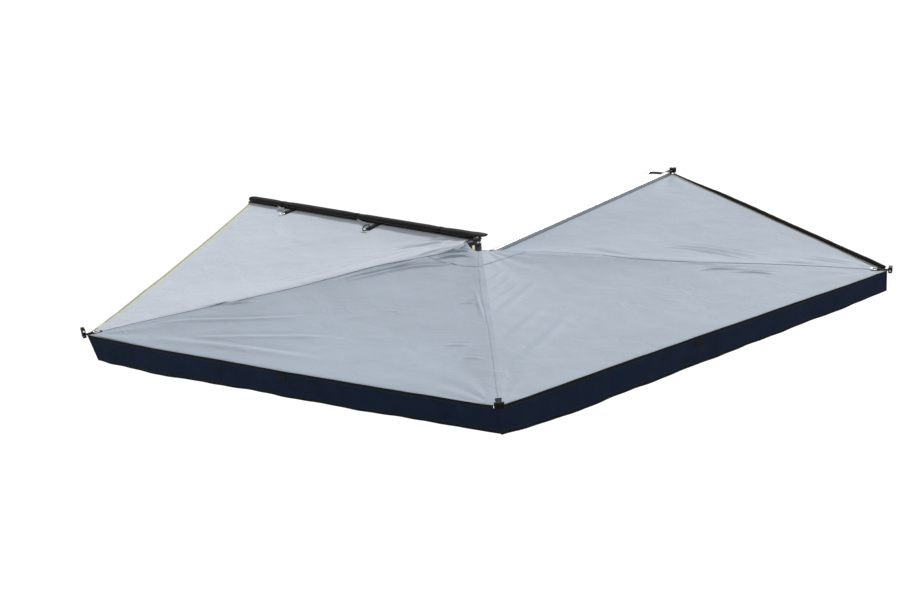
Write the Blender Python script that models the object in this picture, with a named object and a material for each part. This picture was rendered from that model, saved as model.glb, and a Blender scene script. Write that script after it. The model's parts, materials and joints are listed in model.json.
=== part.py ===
"""Side awning for a vehicle: four arms swing on one upright bolt at the rear end
of a rail and spread a canopy over three quarters of a circle.

Metres. +X is the vehicle's right, +Y runs forward along the rail, +Z is up.
The origin is the middle of the underside of the middle rack bracket's foot.
"""
import math

import bmesh
import bpy
import numpy as np
from mathutils import Matrix, Vector

# Clearances
TOUCH = 0.0003            # between pieces that lie on each other
EDGE_BREAK = 0.0006       # small bevel on plates and castings
BOLT_PLAY = 0.0003        # round a bolt in its hole, on the radius

# Arms: length from the upright bolt to the canopy's corner, and where each one
# stands when open, in degrees from the rail, anticlockwise from above.
ARM_LENGTH = 2.200
ARM_1_ANGLE = 69.5
ARM_2_ANGLE = 134.0
ARM_3_ANGLE = 199.0
ARM_4_ANGLE = 274.0
ARM_DROP = 0.026          # a tip lies this far below its knuckle
ARM_PITCH = 0.032         # from one arm up to the next, folded or open

# Arm channel, open underneath so that a leg folds into it
CHANNEL_WIDTH = 0.030
CHANNEL_HEIGHT = 0.028
CHANNEL_WALL = 0.0018
CHANNEL_EDGE = 0.0050     # radius of the two upper edges
CHANNEL_START = 0.085
NOSE_STEP = 0.045         # the channel stops this far short of the corner

# Knuckles on the upright bolt
PIVOT_DIAMETER = 0.012
KNUCKLE_DIAMETER = 0.040
KNUCKLE_NECK_HEIGHT = 0.0230
KNUCKLE_REACH = 0.170
BOSS_DIAMETER = 0.032

# Tip brackets and the plates that clamp the canopy's corners
TIP_LENGTH = 0.070        # of the part inside the channel
NOSE_SHORT = 0.020        # the nose stops this far short of the corner
NOSE_DEPTH = 0.022
LEG_PIN_BACK = 0.065      # leg pin, back from the corner
LEG_PIN_DIAMETER = 0.006
LEG_PIN_HEAD = 0.011
LEG_PIN_HEAD_HEIGHT = 0.0034
PLATE_THICKNESS = 0.0016
PLATE_TAIL = 0.075
PLATE_OVERHANG = 0.024
PLATE_WIDE = 0.028
PLATE_NARROW = 0.014

# Legs
LEG_DIAMETER = 0.020
LEG_WALL = 0.0013
LEG_LENGTH = 1.100
LEG_AXIS_DROP = 0.001     # leg's centre line below the channel's
INNER_DIAMETER = 0.0168
INNER_WALL = 0.0014
INNER_START = 0.120
INNER_SHOWS = 0.030       # of the inner tube past the outer tube's end
FOOT_DIAMETER = 0.024
FOOT_LENGTH = 0.030
FOOT_PLUG = 0.022
COLLAR_DIAMETER = 0.024
COLLAR_LENGTH = 0.042
COLLAR_LIP = 0.012
LEVER_LENGTH = 0.049
LEVER_WIDTH = 0.013
LEVER_THICKNESS = 0.003
LEVER_PIN_DIAMETER = 0.0022
EAR_THICKNESS = 0.003

# Rail
RAIL_HEIGHT = 0.100
RAIL_DEPTH = 0.022
RAIL_WALL = 0.003
RAIL_LENGTH = 2.072
RAIL_FACE = 0.026         # outboard face, from the upright bolt
KEDER_RADIUS = 0.0028
KEDER_MOUTH = 0.0024
KEDER_DEPTH = 0.0050      # centre of a keder groove behind the face
KEDER_BLOCK = 0.0100
KEDER_EDGE = 0.008        # groove's centre from the rail's edge
SLOT_WIDTH = 0.0084
SLOT_INNER_WIDTH = 0.018
SLOT_LIP = 0.003
END_CAP = 0.004

# Hub
HUB_PLATE = 0.004
WEB_START = 0.024
WEB_LENGTH = 0.022
ZINC_LENGTH = 0.0244
ZINC_HEIGHT = 0.056
BACK_PLATE = 0.005
BACK_PLATE_LENGTH = 0.176
BACK_PLATE_HEIGHT = 0.096
BACK_PLATE_BOLTS = (0.30, 0.75)  # shares of its run along the rail
PIVOT_HEAD_DIAMETER = 0.019
PIVOT_HEAD_HEIGHT = 0.0075
PIVOT_NUT_WIDTH = 0.019
PIVOT_NUT_HEIGHT = 0.010
PIVOT_TAIL = 0.005

# Rack brackets
BRACKET_SPACING = 0.750
MIDDLE_BRACKET = 1.100    # from the upright bolt, along the rail
BRACKET_THICKNESS = 0.005
BRACKET_WIDTH = 0.070
BRACKET_HEIGHT = 0.080
FOOT_REACH = 0.075
FOOT_DROP = 0.005         # foot's underside below the rail
FOOT_SLOT_WIDTH = 0.009
FOOT_SLOT_LENGTH = 0.030
FOOT_SLOT_SPACING = 0.036
SLOT_BOLT_DIAMETER = 0.008
SLOT_BOLT_HEAD = 0.015
SLOT_BOLT_HEAD_HEIGHT = 0.005
SLOT_NUT_WIDTH = 0.013
SLOT_NUT_HEIGHT = 0.0065

# Canopy
CANOPY_THICKNESS = 0.0012
CANOPY_SAG = 0.030
CANOPY_CUT = 0.085        # open round the upright bolt
CANOPY_RAIL_START = 0.090
CANOPY_RAIL_INSET = 0.012  # canopy's front end, short of the rail's end
CANOPY_REST = 0.018       # half the strip that lies flat on an arm
CANOPY_SIDE_DROP = 0.010  # right edge below the fourth arm's centre line
VALANCE_HEIGHT = 0.130
VALANCE_FOLD = 0.003
VALANCE_FOLDS = 6

# Travel cover, rolled on the rail's top
COVER_PAST_BOLT = 0.025   # cover's end at the hub, past the upright bolt
COVER_OVERHANG = 0.004    # cover's other end, past the rail
COVER_HEIGHT = 0.036
COVER_DEPTH = 0.056
COVER_ROUND = 0.050       # length over which an end is rounded
COVER_END = 0.45          # an end's size, as a share of the roll's
COVER_PINCH = 0.005
COVER_INBOARD = 0.012     # roll's middle, inboard of the rail's
COVER_FLAT = 0.42         # flat underside below the roll's middle, as a share of its height
COVER_TIES = 3

# Strap and hook that tie the fourth arm's tip to the rack
TIE_LENGTH = 0.130
TIE_WIDTH = 0.020
TIE_THICKNESS = 0.0025
TIE_HEADING = 105.0
TIE_BACK = 0.033          # strap's place, back from the corner
HOOK_WIRE = 0.006
HOOK_RADIUS = 0.013
HOOK_NARROW = 0.8         # hook's width as a share of its length
HOOK_BACK = -20.0         # where the bend starts, and how far it goes round, in degrees
HOOK_TURN = 300.0

ARM_ANGLES = (ARM_1_ANGLE, ARM_2_ANGLE, ARM_3_ANGLE, ARM_4_ANGLE)
SLOPE = math.asin(ARM_DROP / ARM_LENGTH)
TOP = CHANNEL_HEIGHT / 2
HUB_INSIDE = 2 * ARM_PITCH + TOUCH / 2
RAIL_BACK = RAIL_FACE + RAIL_DEPTH
ZINC_START = WEB_START + WEB_LENGTH + TOUCH
RAIL_START = ZINC_START + ZINC_LENGTH + TOUCH
WEB_END = WEB_START + WEB_LENGTH
CANOPY_RAIL_END = RAIL_START + RAIL_LENGTH - CANOPY_RAIL_INSET
COVER_LENGTH = COVER_PAST_BOLT + RAIL_START + RAIL_LENGTH + COVER_OVERHANG
INNER_END = LEG_LENGTH + INNER_SHOWS
FOOT_LEVEL = -RAIL_HEIGHT / 2 - FOOT_DROP
FOOT_INSIDE = RAIL_BACK + TOUCH
FOOT_MIDDLE = FOOT_INSIDE + BRACKET_THICKNESS + FOOT_REACH / 2
PIVOT = Vector((-FOOT_MIDDLE, -MIDDLE_BRACKET, -FOOT_LEVEL))


def level(arm):
    """Height of an arm's knuckle above the middle of the upright bolt; arm 0 is the top one."""
    return (1.5 - arm) * ARM_PITCH


def heading(arm):
    """Direction of an arm from the upright bolt, seen from above."""
    angle = math.radians(ARM_ANGLES[arm] + 90)
    return Vector((math.cos(angle), math.sin(angle), 0))


# Meshes

def closed(bm):
    bmesh.ops.recalc_face_normals(bm, faces=bm.faces)
    mesh = bpy.data.meshes.new("mesh")
    bm.to_mesh(mesh)
    bm.free()
    return mesh


def prism(outline, low, high):
    """An outline in X and Y, drawn up along Z from low to high."""
    bm = bmesh.new()
    base = [bm.verts.new((x, y, low)) for x, y in outline]
    face = bm.faces.new(base)
    drawn = bmesh.ops.extrude_face_region(bm, geom=[face])
    risen = [item for item in drawn["geom"] if isinstance(item, bmesh.types.BMVert)]
    bmesh.ops.translate(bm, verts=risen, vec=(0, 0, high - low))
    return closed(bm)


def box(low, high):
    outline = [(low[0], low[1]), (high[0], low[1]), (high[0], high[1]), (low[0], high[1])]
    return prism(outline, low[2], high[2])


def turned(profile, sides):
    """A profile of (radius, height) turned about Z; it closes on itself unless it ends on the axis."""
    bm = bmesh.new()
    rings = []
    for radius, height in profile:
        if radius == 0:
            rings.append([bm.verts.new((0, 0, height))])
            continue
        angles = [2 * math.pi * i / sides for i in range(sides)]
        rings.append([bm.verts.new((radius * math.cos(a), radius * math.sin(a), height)) for a in angles])
    pairs = list(zip(rings, rings[1:]))
    if len(rings[0]) > 1:
        pairs.append((rings[-1], rings[0]))
    for first, second in pairs:
        for i in range(sides):
            j = (i + 1) % sides
            corners = [first[i % len(first)], first[j % len(first)]]
            corners += [second[j % len(second)], second[i % len(second)]]
            bm.faces.new(list(dict.fromkeys(corners)))
    return closed(bm)


def skin(rows):
    """A closed solid from rows of points: each row is a ring, and both ends are capped."""
    bm = bmesh.new()
    rings = [[bm.verts.new(point) for point in row] for row in rows]
    for first, second in zip(rings, rings[1:]):
        for i in range(len(first)):
            j = (i + 1) % len(first)
            bm.faces.new([first[i], first[j], second[j], second[i]])
    bm.faces.new(rings[0][::-1])
    bm.faces.new(rings[-1])
    return closed(bm)


def sheet(points, thickness, up=Vector((0, 0, 1))):
    """A grid of points, rows of equal length, given a thickness along one direction."""
    bm = bmesh.new()
    half = up * (thickness / 2)
    upper = [[bm.verts.new(point + half) for point in row] for row in points]
    under = [[bm.verts.new(point - half) for point in row] for row in points]
    last = len(points) - 1
    end = len(points[0]) - 1
    for side in (upper, under):
        for i in range(last):
            for j in range(end):
                corners = [side[i][j], side[i][j + 1], side[i + 1][j + 1], side[i + 1][j]]
                bm.faces.new(corners)
    edge = [(i, 0) for i in range(last)] + [(last, j) for j in range(end)]
    edge += [(i, end) for i in range(last, 0, -1)] + [(0, j) for j in range(end, 0, -1)]
    for (i, j), (k, m) in zip(edge, edge[1:] + edge[:1]):
        bm.faces.new([upper[i][j], upper[k][m], under[k][m], under[i][j]])
    bmesh.ops.triangulate(bm, faces=bm.faces)
    return closed(bm)


def placed(mesh, matrix):
    copy = mesh.copy()
    copy.transform(matrix)
    return copy


def combined(mesh, operation, others):
    """The mesh with others cut out of it or united with it."""
    for other in others:
        first = bpy.data.objects.new("first", mesh)
        second = bpy.data.objects.new("second", other)
        for item in (first, second):
            bpy.context.scene.collection.objects.link(item)
        boolean = first.modifiers.new("boolean", "BOOLEAN")
        boolean.operation = operation
        boolean.object = second
        bpy.context.view_layer.update()
        result = first.evaluated_get(bpy.context.evaluated_depsgraph_get())
        mesh = bpy.data.meshes.new_from_object(result)
        bpy.data.objects.remove(first)
        bpy.data.objects.remove(second)
    return mesh


def cut(mesh, *others):
    return combined(mesh, "DIFFERENCE", others)


def united(mesh, *others):
    return combined(mesh, "UNION", others)


def along_x(x=0, y=0, z=0):
    """Turns +Z to +X and moves it to a place."""
    return Matrix.Translation((x, y, z)) @ Matrix.Rotation(math.pi / 2, 4, "Y")


def along_y(x=0, y=0, z=0):
    """Turns +Z to +Y and moves it to a place."""
    return Matrix.Translation((x, y, z)) @ Matrix.Rotation(-math.pi / 2, 4, "X")


def up_from(x=0, y=0, z=0):
    return Matrix.Translation((x, y, z))


def rod(diameter, low, high, sides=12):
    radius = diameter / 2
    return turned([(0, low), (radius, low), (radius, high), (0, high)], sides)


def arc(centre, radius, start, end, steps):
    """Points on an arc, angles in degrees."""
    angles = [math.radians(start + (end - start) * i / steps) for i in range(steps + 1)]
    return [(centre[0] + radius * math.cos(a), centre[1] + radius * math.sin(a)) for a in angles]


def hull_outline(circles, steps=16):
    """The outline that a band round several circles (x, y, radius) would take."""
    points = sorted({point for x, y, radius in circles for point in arc((x, y), radius, 0, 360, steps)[:-1]})

    def half(ordered):
        chain = []
        for point in ordered:
            while len(chain) > 1:
                (ax, ay), (bx, by) = chain[-2:]
                if (bx - ax) * (point[1] - ay) - (by - ay) * (point[0] - ax) > 1e-12:
                    break
                chain.pop()
            chain.append(point)
        return chain[:-1]

    return half(points) + half(points[::-1])


def hexagon(width):
    """A nut's outline, from its width across the flats."""
    return arc((0, 0), width / math.sqrt(3), 0, 360, 6)[:-1]


def slot_bolt(grip):
    """A hammer-head bolt for the rail's slot, its head above z = 0 and its nut done up at the grip's end."""
    half = SLOT_BOLT_HEAD / 2
    head = box((-half, -half, 0), (half, half, SLOT_BOLT_HEAD_HEIGHT))
    seat = -grip - TOUCH
    tail = seat - SLOT_NUT_HEIGHT - 0.25 * SLOT_BOLT_DIAMETER
    tightened = prism(hexagon(SLOT_NUT_WIDTH), seat - SLOT_NUT_HEIGHT, seat)
    return united(head, rod(SLOT_BOLT_DIAMETER, tail, SLOT_BOLT_HEAD_HEIGHT / 2), tightened)


# Objects

def material(name, colour, roughness, metallic=0.0):
    made = bpy.data.materials.new(name)
    made.use_nodes = True
    shader = made.node_tree.nodes["Principled BSDF"]
    shader.inputs["Base Color"].default_value = (*colour, 1)
    shader.inputs["Roughness"].default_value = roughness
    shader.inputs["Metallic"].default_value = metallic
    return made


def piece(name, mesh, finish, parent, matrix=Matrix(), smooth=None, bevel=None):
    """One named sub-part; smooth is the angle in degrees above which an edge stays sharp."""
    made = bpy.data.objects.new(name, mesh)
    bpy.context.scene.collection.objects.link(made)
    made.parent = parent
    made.matrix_basis = matrix
    if not mesh.materials:
        mesh.materials.append(finish)
    if smooth:
        mesh.shade_smooth()
        mesh.set_sharp_from_angle(angle=math.radians(smooth))
    if bevel:
        rounding = made.modifiers.new("bevel", "BEVEL")
        rounding.width = bevel
        rounding.segments = 1
        rounding.limit_method = "ANGLE"
        rounding.angle_limit = math.radians(50)
    return made


def axis(name, parent=None, matrix=Matrix()):
    """An empty on a joint's axis."""
    made = bpy.data.objects.new(name, None)
    made.empty_display_size = 0.05
    bpy.context.scene.collection.objects.link(made)
    made.parent = parent
    made.matrix_basis = matrix
    return made


# Rail

def keder_groove(centre):
    """The round groove's outline across the outboard face, from below its mouth to above it."""
    half = KEDER_MOUTH / 2
    opening = math.degrees(math.asin(half / KEDER_RADIUS))
    round_part = arc((RAIL_FACE + KEDER_DEPTH, centre), KEDER_RADIUS, 180 + opening, 540 - opening, 8)
    return [(RAIL_FACE, centre - half)] + round_part + [(RAIL_FACE, centre + half)]


def rail_outline():
    """Section in X and Z: three keder grooves outboard, a bolt slot at the back."""
    half = RAIL_HEIGHT / 2
    edge = half - KEDER_EDGE
    neck = SLOT_WIDTH / 2
    room = SLOT_INNER_WIDTH / 2
    floor = RAIL_FACE + KEDER_BLOCK
    shoulder = half - 2 * KEDER_EDGE
    upper = [
        (floor, room),
        (RAIL_BACK - SLOT_LIP, room),
        (RAIL_BACK - SLOT_LIP, neck),
        (RAIL_BACK, neck),
        (RAIL_BACK, room + RAIL_WALL),
        (RAIL_FACE + RAIL_WALL, room + RAIL_WALL),
        (RAIL_FACE + RAIL_WALL, shoulder),
        (floor, shoulder),
        (floor, half - RAIL_WALL),
        (RAIL_BACK, half - RAIL_WALL),
        (RAIL_BACK, half),
        (RAIL_FACE, half),
    ]
    front = [point for centre in (-edge, 0, edge) for point in keder_groove(centre)]
    return upper + front[::-1] + [(x, -z) for x, z in reversed(upper)]


def make_rail(hub, aluminium, plastic):
    stand = along_y() @ Matrix.Rotation(math.pi, 4, "Z")
    body = prism([(-x, z) for x, z in rail_outline()], RAIL_START, RAIL_START + RAIL_LENGTH)
    piece("rail", placed(body, stand), aluminium, hub, smooth=40)
    half = RAIL_HEIGHT / 2
    end = RAIL_START + RAIL_LENGTH + TOUCH
    circles = []
    for x in (RAIL_FACE + END_CAP, RAIL_BACK - END_CAP):
        circles += [(-x, half - END_CAP, END_CAP), (-x, END_CAP - half, END_CAP)]
    outline = hull_outline(circles, 8)
    piece("rail_end_cap", placed(prism(outline, end, end + END_CAP), stand), plastic, hub)


# Hub

def make_hub(hub, black, zinc, chrome):
    inside = HUB_INSIDE
    pivot_hole = PIVOT_DIAMETER + 2 * BOLT_PLAY
    corner = 0.006
    outline = hull_outline([
        (0, 0, KNUCKLE_DIAMETER / 2 + corner),
        (RAIL_BACK - corner, WEB_START + corner, corner),
        (RAIL_BACK - corner, WEB_END - corner, corner),
        (RAIL_FACE + corner, WEB_END - corner, corner),
    ])
    plate = cut(prism(outline, 0, HUB_PLATE), rod(pivot_hole, -HUB_PLATE, 2 * HUB_PLATE, 20))
    piece("hub_top_plate", placed(plate, up_from(z=inside)), black, hub, bevel=EDGE_BREAK)
    piece("hub_bottom_plate", placed(plate, up_from(z=-inside - HUB_PLATE)), black, hub, bevel=EDGE_BREAK)
    web = box((RAIL_FACE, WEB_START, TOUCH - inside), (RAIL_BACK, WEB_END, inside - TOUCH))
    piece("hub_web", web, black, hub, bevel=EDGE_BREAK)
    half = ZINC_HEIGHT / 2
    spacer = box((RAIL_FACE, ZINC_START, -half), (RAIL_BACK, ZINC_START + ZINC_LENGTH, half))
    piece("hub_spacer", spacer, zinc, hub, bevel=EDGE_BREAK)

    back = RAIL_BACK + TOUCH
    slot_hole = SLOT_BOLT_DIAMETER + 2 * BOLT_PLAY
    run = WEB_START + BACK_PLATE_LENGTH - RAIL_START
    slot_places = [RAIL_START + share * run for share in BACK_PLATE_BOLTS]
    drill = rod(slot_hole, 0, 4 * BACK_PLATE)
    holes = [placed(drill, along_x(RAIL_BACK - BACK_PLATE, y, 0)) for y in slot_places]
    half = BACK_PLATE_HEIGHT / 2
    back_plate = box((back, WEB_START, -half), (back + BACK_PLATE, WEB_START + BACK_PLATE_LENGTH, half))
    piece("hub_back_plate", cut(back_plate, *holes), zinc, hub, bevel=EDGE_BREAK)
    bolt = slot_bolt(SLOT_LIP + 2 * TOUCH + BACK_PLATE)
    for number, y in enumerate(slot_places, 1):
        piece(f"hub_slot_bolt_{number}", bolt, chrome, hub, slot_place(y), smooth=40)

    seat = inside + HUB_PLATE + TOUCH
    wide = PIVOT_HEAD_DIAMETER / 2
    shank = PIVOT_DIAMETER / 2
    tail = -seat - PIVOT_NUT_HEIGHT - PIVOT_TAIL
    profile = [(0, tail), (shank, tail), (shank, seat), (wide, seat), (wide, seat + PIVOT_HEAD_HEIGHT / 2)]
    profile += [(wide * 0.8, seat + PIVOT_HEAD_HEIGHT), (0, seat + PIVOT_HEAD_HEIGHT)]
    piece("pivot_bolt", turned(profile, 20), chrome, hub, smooth=40)
    thread = rod(pivot_hole, -PIVOT_NUT_HEIGHT, 2 * PIVOT_NUT_HEIGHT, 20)
    big_nut = cut(prism(hexagon(PIVOT_NUT_WIDTH), 0, PIVOT_NUT_HEIGHT), thread)
    piece("pivot_nut", placed(big_nut, up_from(z=-seat - PIVOT_NUT_HEIGHT)), chrome, hub)


def slot_place(y):
    """Place of a slot bolt: head inside the rail's slot, shank pointing inboard."""
    return up_from(RAIL_BACK - SLOT_LIP - TOUCH, y, 0) @ Matrix.Rotation(-math.pi / 2, 4, "Y")


# Rack brackets

def make_brackets(hub, steel, chrome):
    thick = BRACKET_THICKNESS
    inner = 0.004
    outline = [(0, BRACKET_HEIGHT), (0, 0), (thick + FOOT_REACH, 0), (thick + FOOT_REACH, thick)]
    outline += arc((thick + inner, thick + inner), inner, 270, 180, 4) + [(thick, BRACKET_HEIGHT)]
    body = prism(outline, -BRACKET_WIDTH / 2, BRACKET_WIDTH / 2)
    body = placed(body, Matrix.Rotation(math.pi / 2, 4, "X"))
    slot_hole = SLOT_BOLT_DIAMETER + 2 * BOLT_PLAY
    hole = placed(rod(slot_hole, -thick, 2 * thick), along_x(0, 0, RAIL_HEIGHT / 2 + FOOT_DROP))
    radius = FOOT_SLOT_WIDTH / 2
    run = FOOT_SLOT_LENGTH / 2 - radius
    middle = thick + FOOT_REACH / 2
    slots = []
    for y in (-FOOT_SLOT_SPACING / 2, FOOT_SLOT_SPACING / 2):
        rounded = hull_outline([(middle - run, y, radius), (middle + run, y, radius)])
        slots.append(prism(rounded, -thick, 2 * thick))
    mesh = cut(body, hole, *slots)
    bolt = slot_bolt(SLOT_LIP + 2 * TOUCH + thick)
    for name, step in (("rear", -1), ("middle", 0), ("front", 1)):
        y = MIDDLE_BRACKET + step * BRACKET_SPACING
        stand = up_from(FOOT_INSIDE, y, FOOT_LEVEL)
        piece(f"rack_bracket_{name}", mesh, steel, hub, stand, bevel=EDGE_BREAK)
        piece(f"rack_bolt_{name}", bolt, chrome, hub, slot_place(y), smooth=40)


# Arms

def arm_places():
    """Places along an arm, from the upright bolt."""
    return {
        "channel_end": ARM_LENGTH - NOSE_STEP,
        "nose_end": ARM_LENGTH - NOSE_SHORT,
        "pin": ARM_LENGTH - LEG_PIN_BACK,
    }


def pin_hole(x=0.0, z=0.0):
    """Cutter for the leg pin's hole, across an arm or a leg."""
    drill = rod(LEG_PIN_DIAMETER + 2 * BOLT_PLAY, -CHANNEL_WIDTH, CHANNEL_WIDTH)
    return placed(drill, along_y(x, 0, z))


def arched(half, top, bottom, radius, steps=4):
    """A section in Y and Z with its two upper edges rounded, right side first."""
    outline = [(half, bottom)] + arc((half - radius, top - radius), radius, 0, 90, steps)
    return outline + arc((radius - half, top - radius), radius, 90, 180, steps) + [(-half, bottom)]


def bar(outline, low, high):
    """A section in Y and Z drawn along X."""
    turn = Matrix(((0, 0, 1, 0), (1, 0, 0, 0), (0, 1, 0, 0), (0, 0, 0, 1)))
    return placed(prism(outline, low, high), turn)


def channel_room(play):
    """Section of the channel's inside, less a clearance: half width, top and edge radius."""
    half = CHANNEL_WIDTH / 2 - CHANNEL_WALL - play
    return half, TOP - CHANNEL_WALL - play, CHANNEL_EDGE - CHANNEL_WALL


def channel_mesh():
    half, ceiling, edge = channel_room(0)
    outside = arched(CHANNEL_WIDTH / 2, TOP, -TOP, CHANNEL_EDGE)
    inside = arched(half, ceiling, -TOP, edge, 3)
    places = arm_places()
    body = bar(outside + inside[::-1], CHANNEL_START, places["channel_end"])
    return cut(body, pin_hole(places["pin"], -LEG_AXIS_DROP))


def knuckle_mesh():
    """A ring on the upright bolt, with a boss above and below, and a neck that slopes into the channel."""
    radius = KNUCKLE_DIAMETER / 2
    boss = BOSS_DIAMETER / 2
    full = ARM_PITCH / 2 - TOUCH / 2
    upper = [(radius, TOP), (boss, TOP), (boss, full), (0, full)]
    lower = [(r, -z) for r, z in reversed(upper)]
    ring = turned(lower + upper, 24)
    half, ceiling, edge = channel_room(TOUCH)
    neck = bar(arched(half, ceiling, ceiling - KNUCKLE_NECK_HEIGHT, edge, 3), 0, KNUCKLE_REACH)
    sloped = placed(neck, Matrix.Rotation(SLOPE, 4, "Y"))
    return cut(united(ring, sloped), rod(PIVOT_DIAMETER + 2 * BOLT_PLAY, -2 * TOP, 2 * TOP, 20))


def tip_mesh():
    """A block in the channel's end: two cheeks for the leg's eye, and a solid nose."""
    places = arm_places()
    nose = places["channel_end"] + TOUCH
    half, ceiling, edge = channel_room(TOUCH)
    inner = bar(arched(half, ceiling, TOUCH - TOP, edge, 3), nose - TIP_LENGTH, nose + edge)
    outer = bar(arched(CHANNEL_WIDTH / 2, TOP, TOP - NOSE_DEPTH, CHANNEL_EDGE), nose, places["nose_end"])
    leg_end = places["pin"] + LEG_DIAMETER / 2 + 10 * TOUCH
    room = LEG_DIAMETER / 2 + 2 * TOUCH
    slot = box((nose - 2 * TIP_LENGTH, -room, -2 * TOP), (leg_end, room, room - LEG_AXIS_DROP))
    clear = box((leg_end + edge, -2 * TOP, -2 * TOP), (2 * ARM_LENGTH, 2 * TOP, TOP - NOSE_DEPTH))
    return cut(united(inner, outer), slot, clear, pin_hole(places["pin"], -LEG_AXIS_DROP))


def corner_plate_mesh():
    """A wedge that clamps the canopy's corner on the nose."""
    wide = PLATE_WIDE / 2
    narrow = PLATE_NARROW / 2
    corner = 0.003
    tail = ARM_LENGTH - PLATE_TAIL + corner
    tip = ARM_LENGTH + PLATE_OVERHANG - corner
    circles = [(tail, side * (wide - corner), corner) for side in (-1, 1)]
    circles += [(tip, side * (narrow - corner), corner) for side in (-1, 1)]
    low = TOP + 2 * TOUCH + CANOPY_THICKNESS
    return prism(hull_outline(circles, 8), low, low + PLATE_THICKNESS)


def leg_pin_mesh():
    """A pin across the arm's tip, with a domed head at both ends."""
    shank = LEG_PIN_DIAMETER / 2
    wide = LEG_PIN_HEAD / 2
    seat = CHANNEL_WIDTH / 2 + TOUCH
    top = seat + LEG_PIN_HEAD_HEIGHT
    brow = seat + 0.7 * LEG_PIN_HEAD_HEIGHT
    upper = [(shank, 0), (shank, seat), (wide, seat), (wide * 0.86, brow), (0, top)]
    lower = [(radius, -height) for radius, height in reversed(upper)]
    pin = turned(lower[:-1] + upper[1:], 16)
    return placed(pin, along_y())


# Legs, drawn from the leg pin towards -X, as they lie folded in the channel

def leg_outer_mesh():
    radius = LEG_DIAMETER / 2
    bore = radius - LEG_WALL
    ball = [(0, -radius)] + arc((0, 0), radius, -68, 0, 3)
    bore_end = 3 * radius
    profile = ball + [(radius, LEG_LENGTH), (bore, LEG_LENGTH), (bore, bore_end), (0, bore_end)]
    tube = placed(turned(profile, 20), Matrix.Rotation(-math.pi / 2, 4, "Y"))
    return cut(tube, pin_hole())


def leg_inner_mesh():
    outer = INNER_DIAMETER / 2
    inner = outer - INNER_WALL
    profile = [(inner, INNER_START), (outer, INNER_START), (outer, INNER_END), (inner, INNER_END)]
    return placed(turned(profile, 20), Matrix.Rotation(-math.pi / 2, 4, "Y"))


def foot_mesh():
    """A rubber cup on the inner tube's end, with a plug inside it."""
    radius = FOOT_DIAMETER / 2
    plug = INNER_DIAMETER / 2 - INNER_WALL - TOUCH
    plug_end = INNER_END - FOOT_PLUG
    start = INNER_END + TOUCH
    end = INNER_END + FOOT_LENGTH
    profile = [(0, plug_end), (plug, plug_end), (plug, start), (radius * 0.8, start)]
    profile += [(radius * 0.86, start + FOOT_LENGTH / 2), (radius, end - 0.006), (radius, end), (0, end)]
    return placed(turned(profile, 16), Matrix.Rotation(-math.pi / 2, 4, "Y"))


def lever_places():
    """The lever's pin and thickness, from the leg's centre line."""
    pin_x = -(LEG_LENGTH - LEVER_THICKNESS)
    pin_z = -(COLLAR_DIAMETER / 2 + 2 * TOUCH + LEVER_THICKNESS / 2)
    return pin_x, pin_z


def collar_mesh():
    """A clamp ring on the outer tube's open end, with two ears and a pin for its lever."""
    outer = COLLAR_DIAMETER / 2
    seat = LEG_DIAMETER / 2 + TOUCH
    lip = INNER_DIAMETER / 2 + TOUCH
    start = LEG_LENGTH + COLLAR_LIP - COLLAR_LENGTH
    step = LEG_LENGTH + TOUCH
    end = LEG_LENGTH + COLLAR_LIP
    profile = [(seat, start), (outer, start), (outer, end), (lip, end), (lip, step), (seat, step)]
    ring = placed(turned(profile, 20), Matrix.Rotation(-math.pi / 2, 4, "Y"))
    pin_x, pin_z = lever_places()
    gap = LEVER_WIDTH / 2 + TOUCH
    reach = 0.006
    root = -math.sqrt((seat + TOUCH) ** 2 - gap ** 2)
    ears = []
    for side in (-1, 1):
        near, far = sorted((side * gap, side * (gap + EAR_THICKNESS)))
        ears.append(box((pin_x - reach, near, pin_z - LEVER_THICKNESS / 2), (pin_x + reach, far, root)))
    half_pin = gap + EAR_THICKNESS / 2
    pin = placed(rod(LEVER_PIN_DIAMETER, -half_pin, half_pin, 8), along_y(pin_x, 0, pin_z))
    return united(ring, *ears, pin)


def lever_mesh():
    """A flat lever drawn from its pin towards +X, thinner at its thumb end."""
    half = LEVER_THICKNESS / 2
    width = LEVER_WIDTH / 2
    end = LEVER_LENGTH
    taper = 2 * half
    outline = arc((0, 0), half, 90, 270, 6)
    outline += [(end - taper, -half), (end, -half * 0.4), (end, half), (end - taper, half)]
    body = prism([(x, -z) for x, z in outline], -width, width)
    body = placed(body, Matrix.Rotation(-math.pi / 2, 4, "X"))
    hole = placed(rod(LEVER_PIN_DIAMETER + 2 * TOUCH, -2 * width, 2 * width, 8), along_y())
    return cut(body, hole)


def make_leg(number, parent, meshes, aluminium, black, rubber):
    leg = axis(f"leg_{number}_axis", parent, up_from(arm_places()["pin"], 0, -LEG_AXIS_DROP))
    piece(f"leg_{number}_outer", meshes["outer"], aluminium, leg, smooth=40)
    piece(f"leg_{number}_inner", meshes["inner"], aluminium, leg, smooth=40)
    piece(f"leg_{number}_foot", meshes["foot"], rubber, leg, smooth=40)
    piece(f"leg_{number}_collar", meshes["collar"], black, leg)
    pin_x, pin_z = lever_places()
    lever = axis(f"lever_{number}_axis", leg, up_from(pin_x, 0, pin_z))
    piece(f"leg_{number}_lever", meshes["lever"], black, lever)


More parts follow.
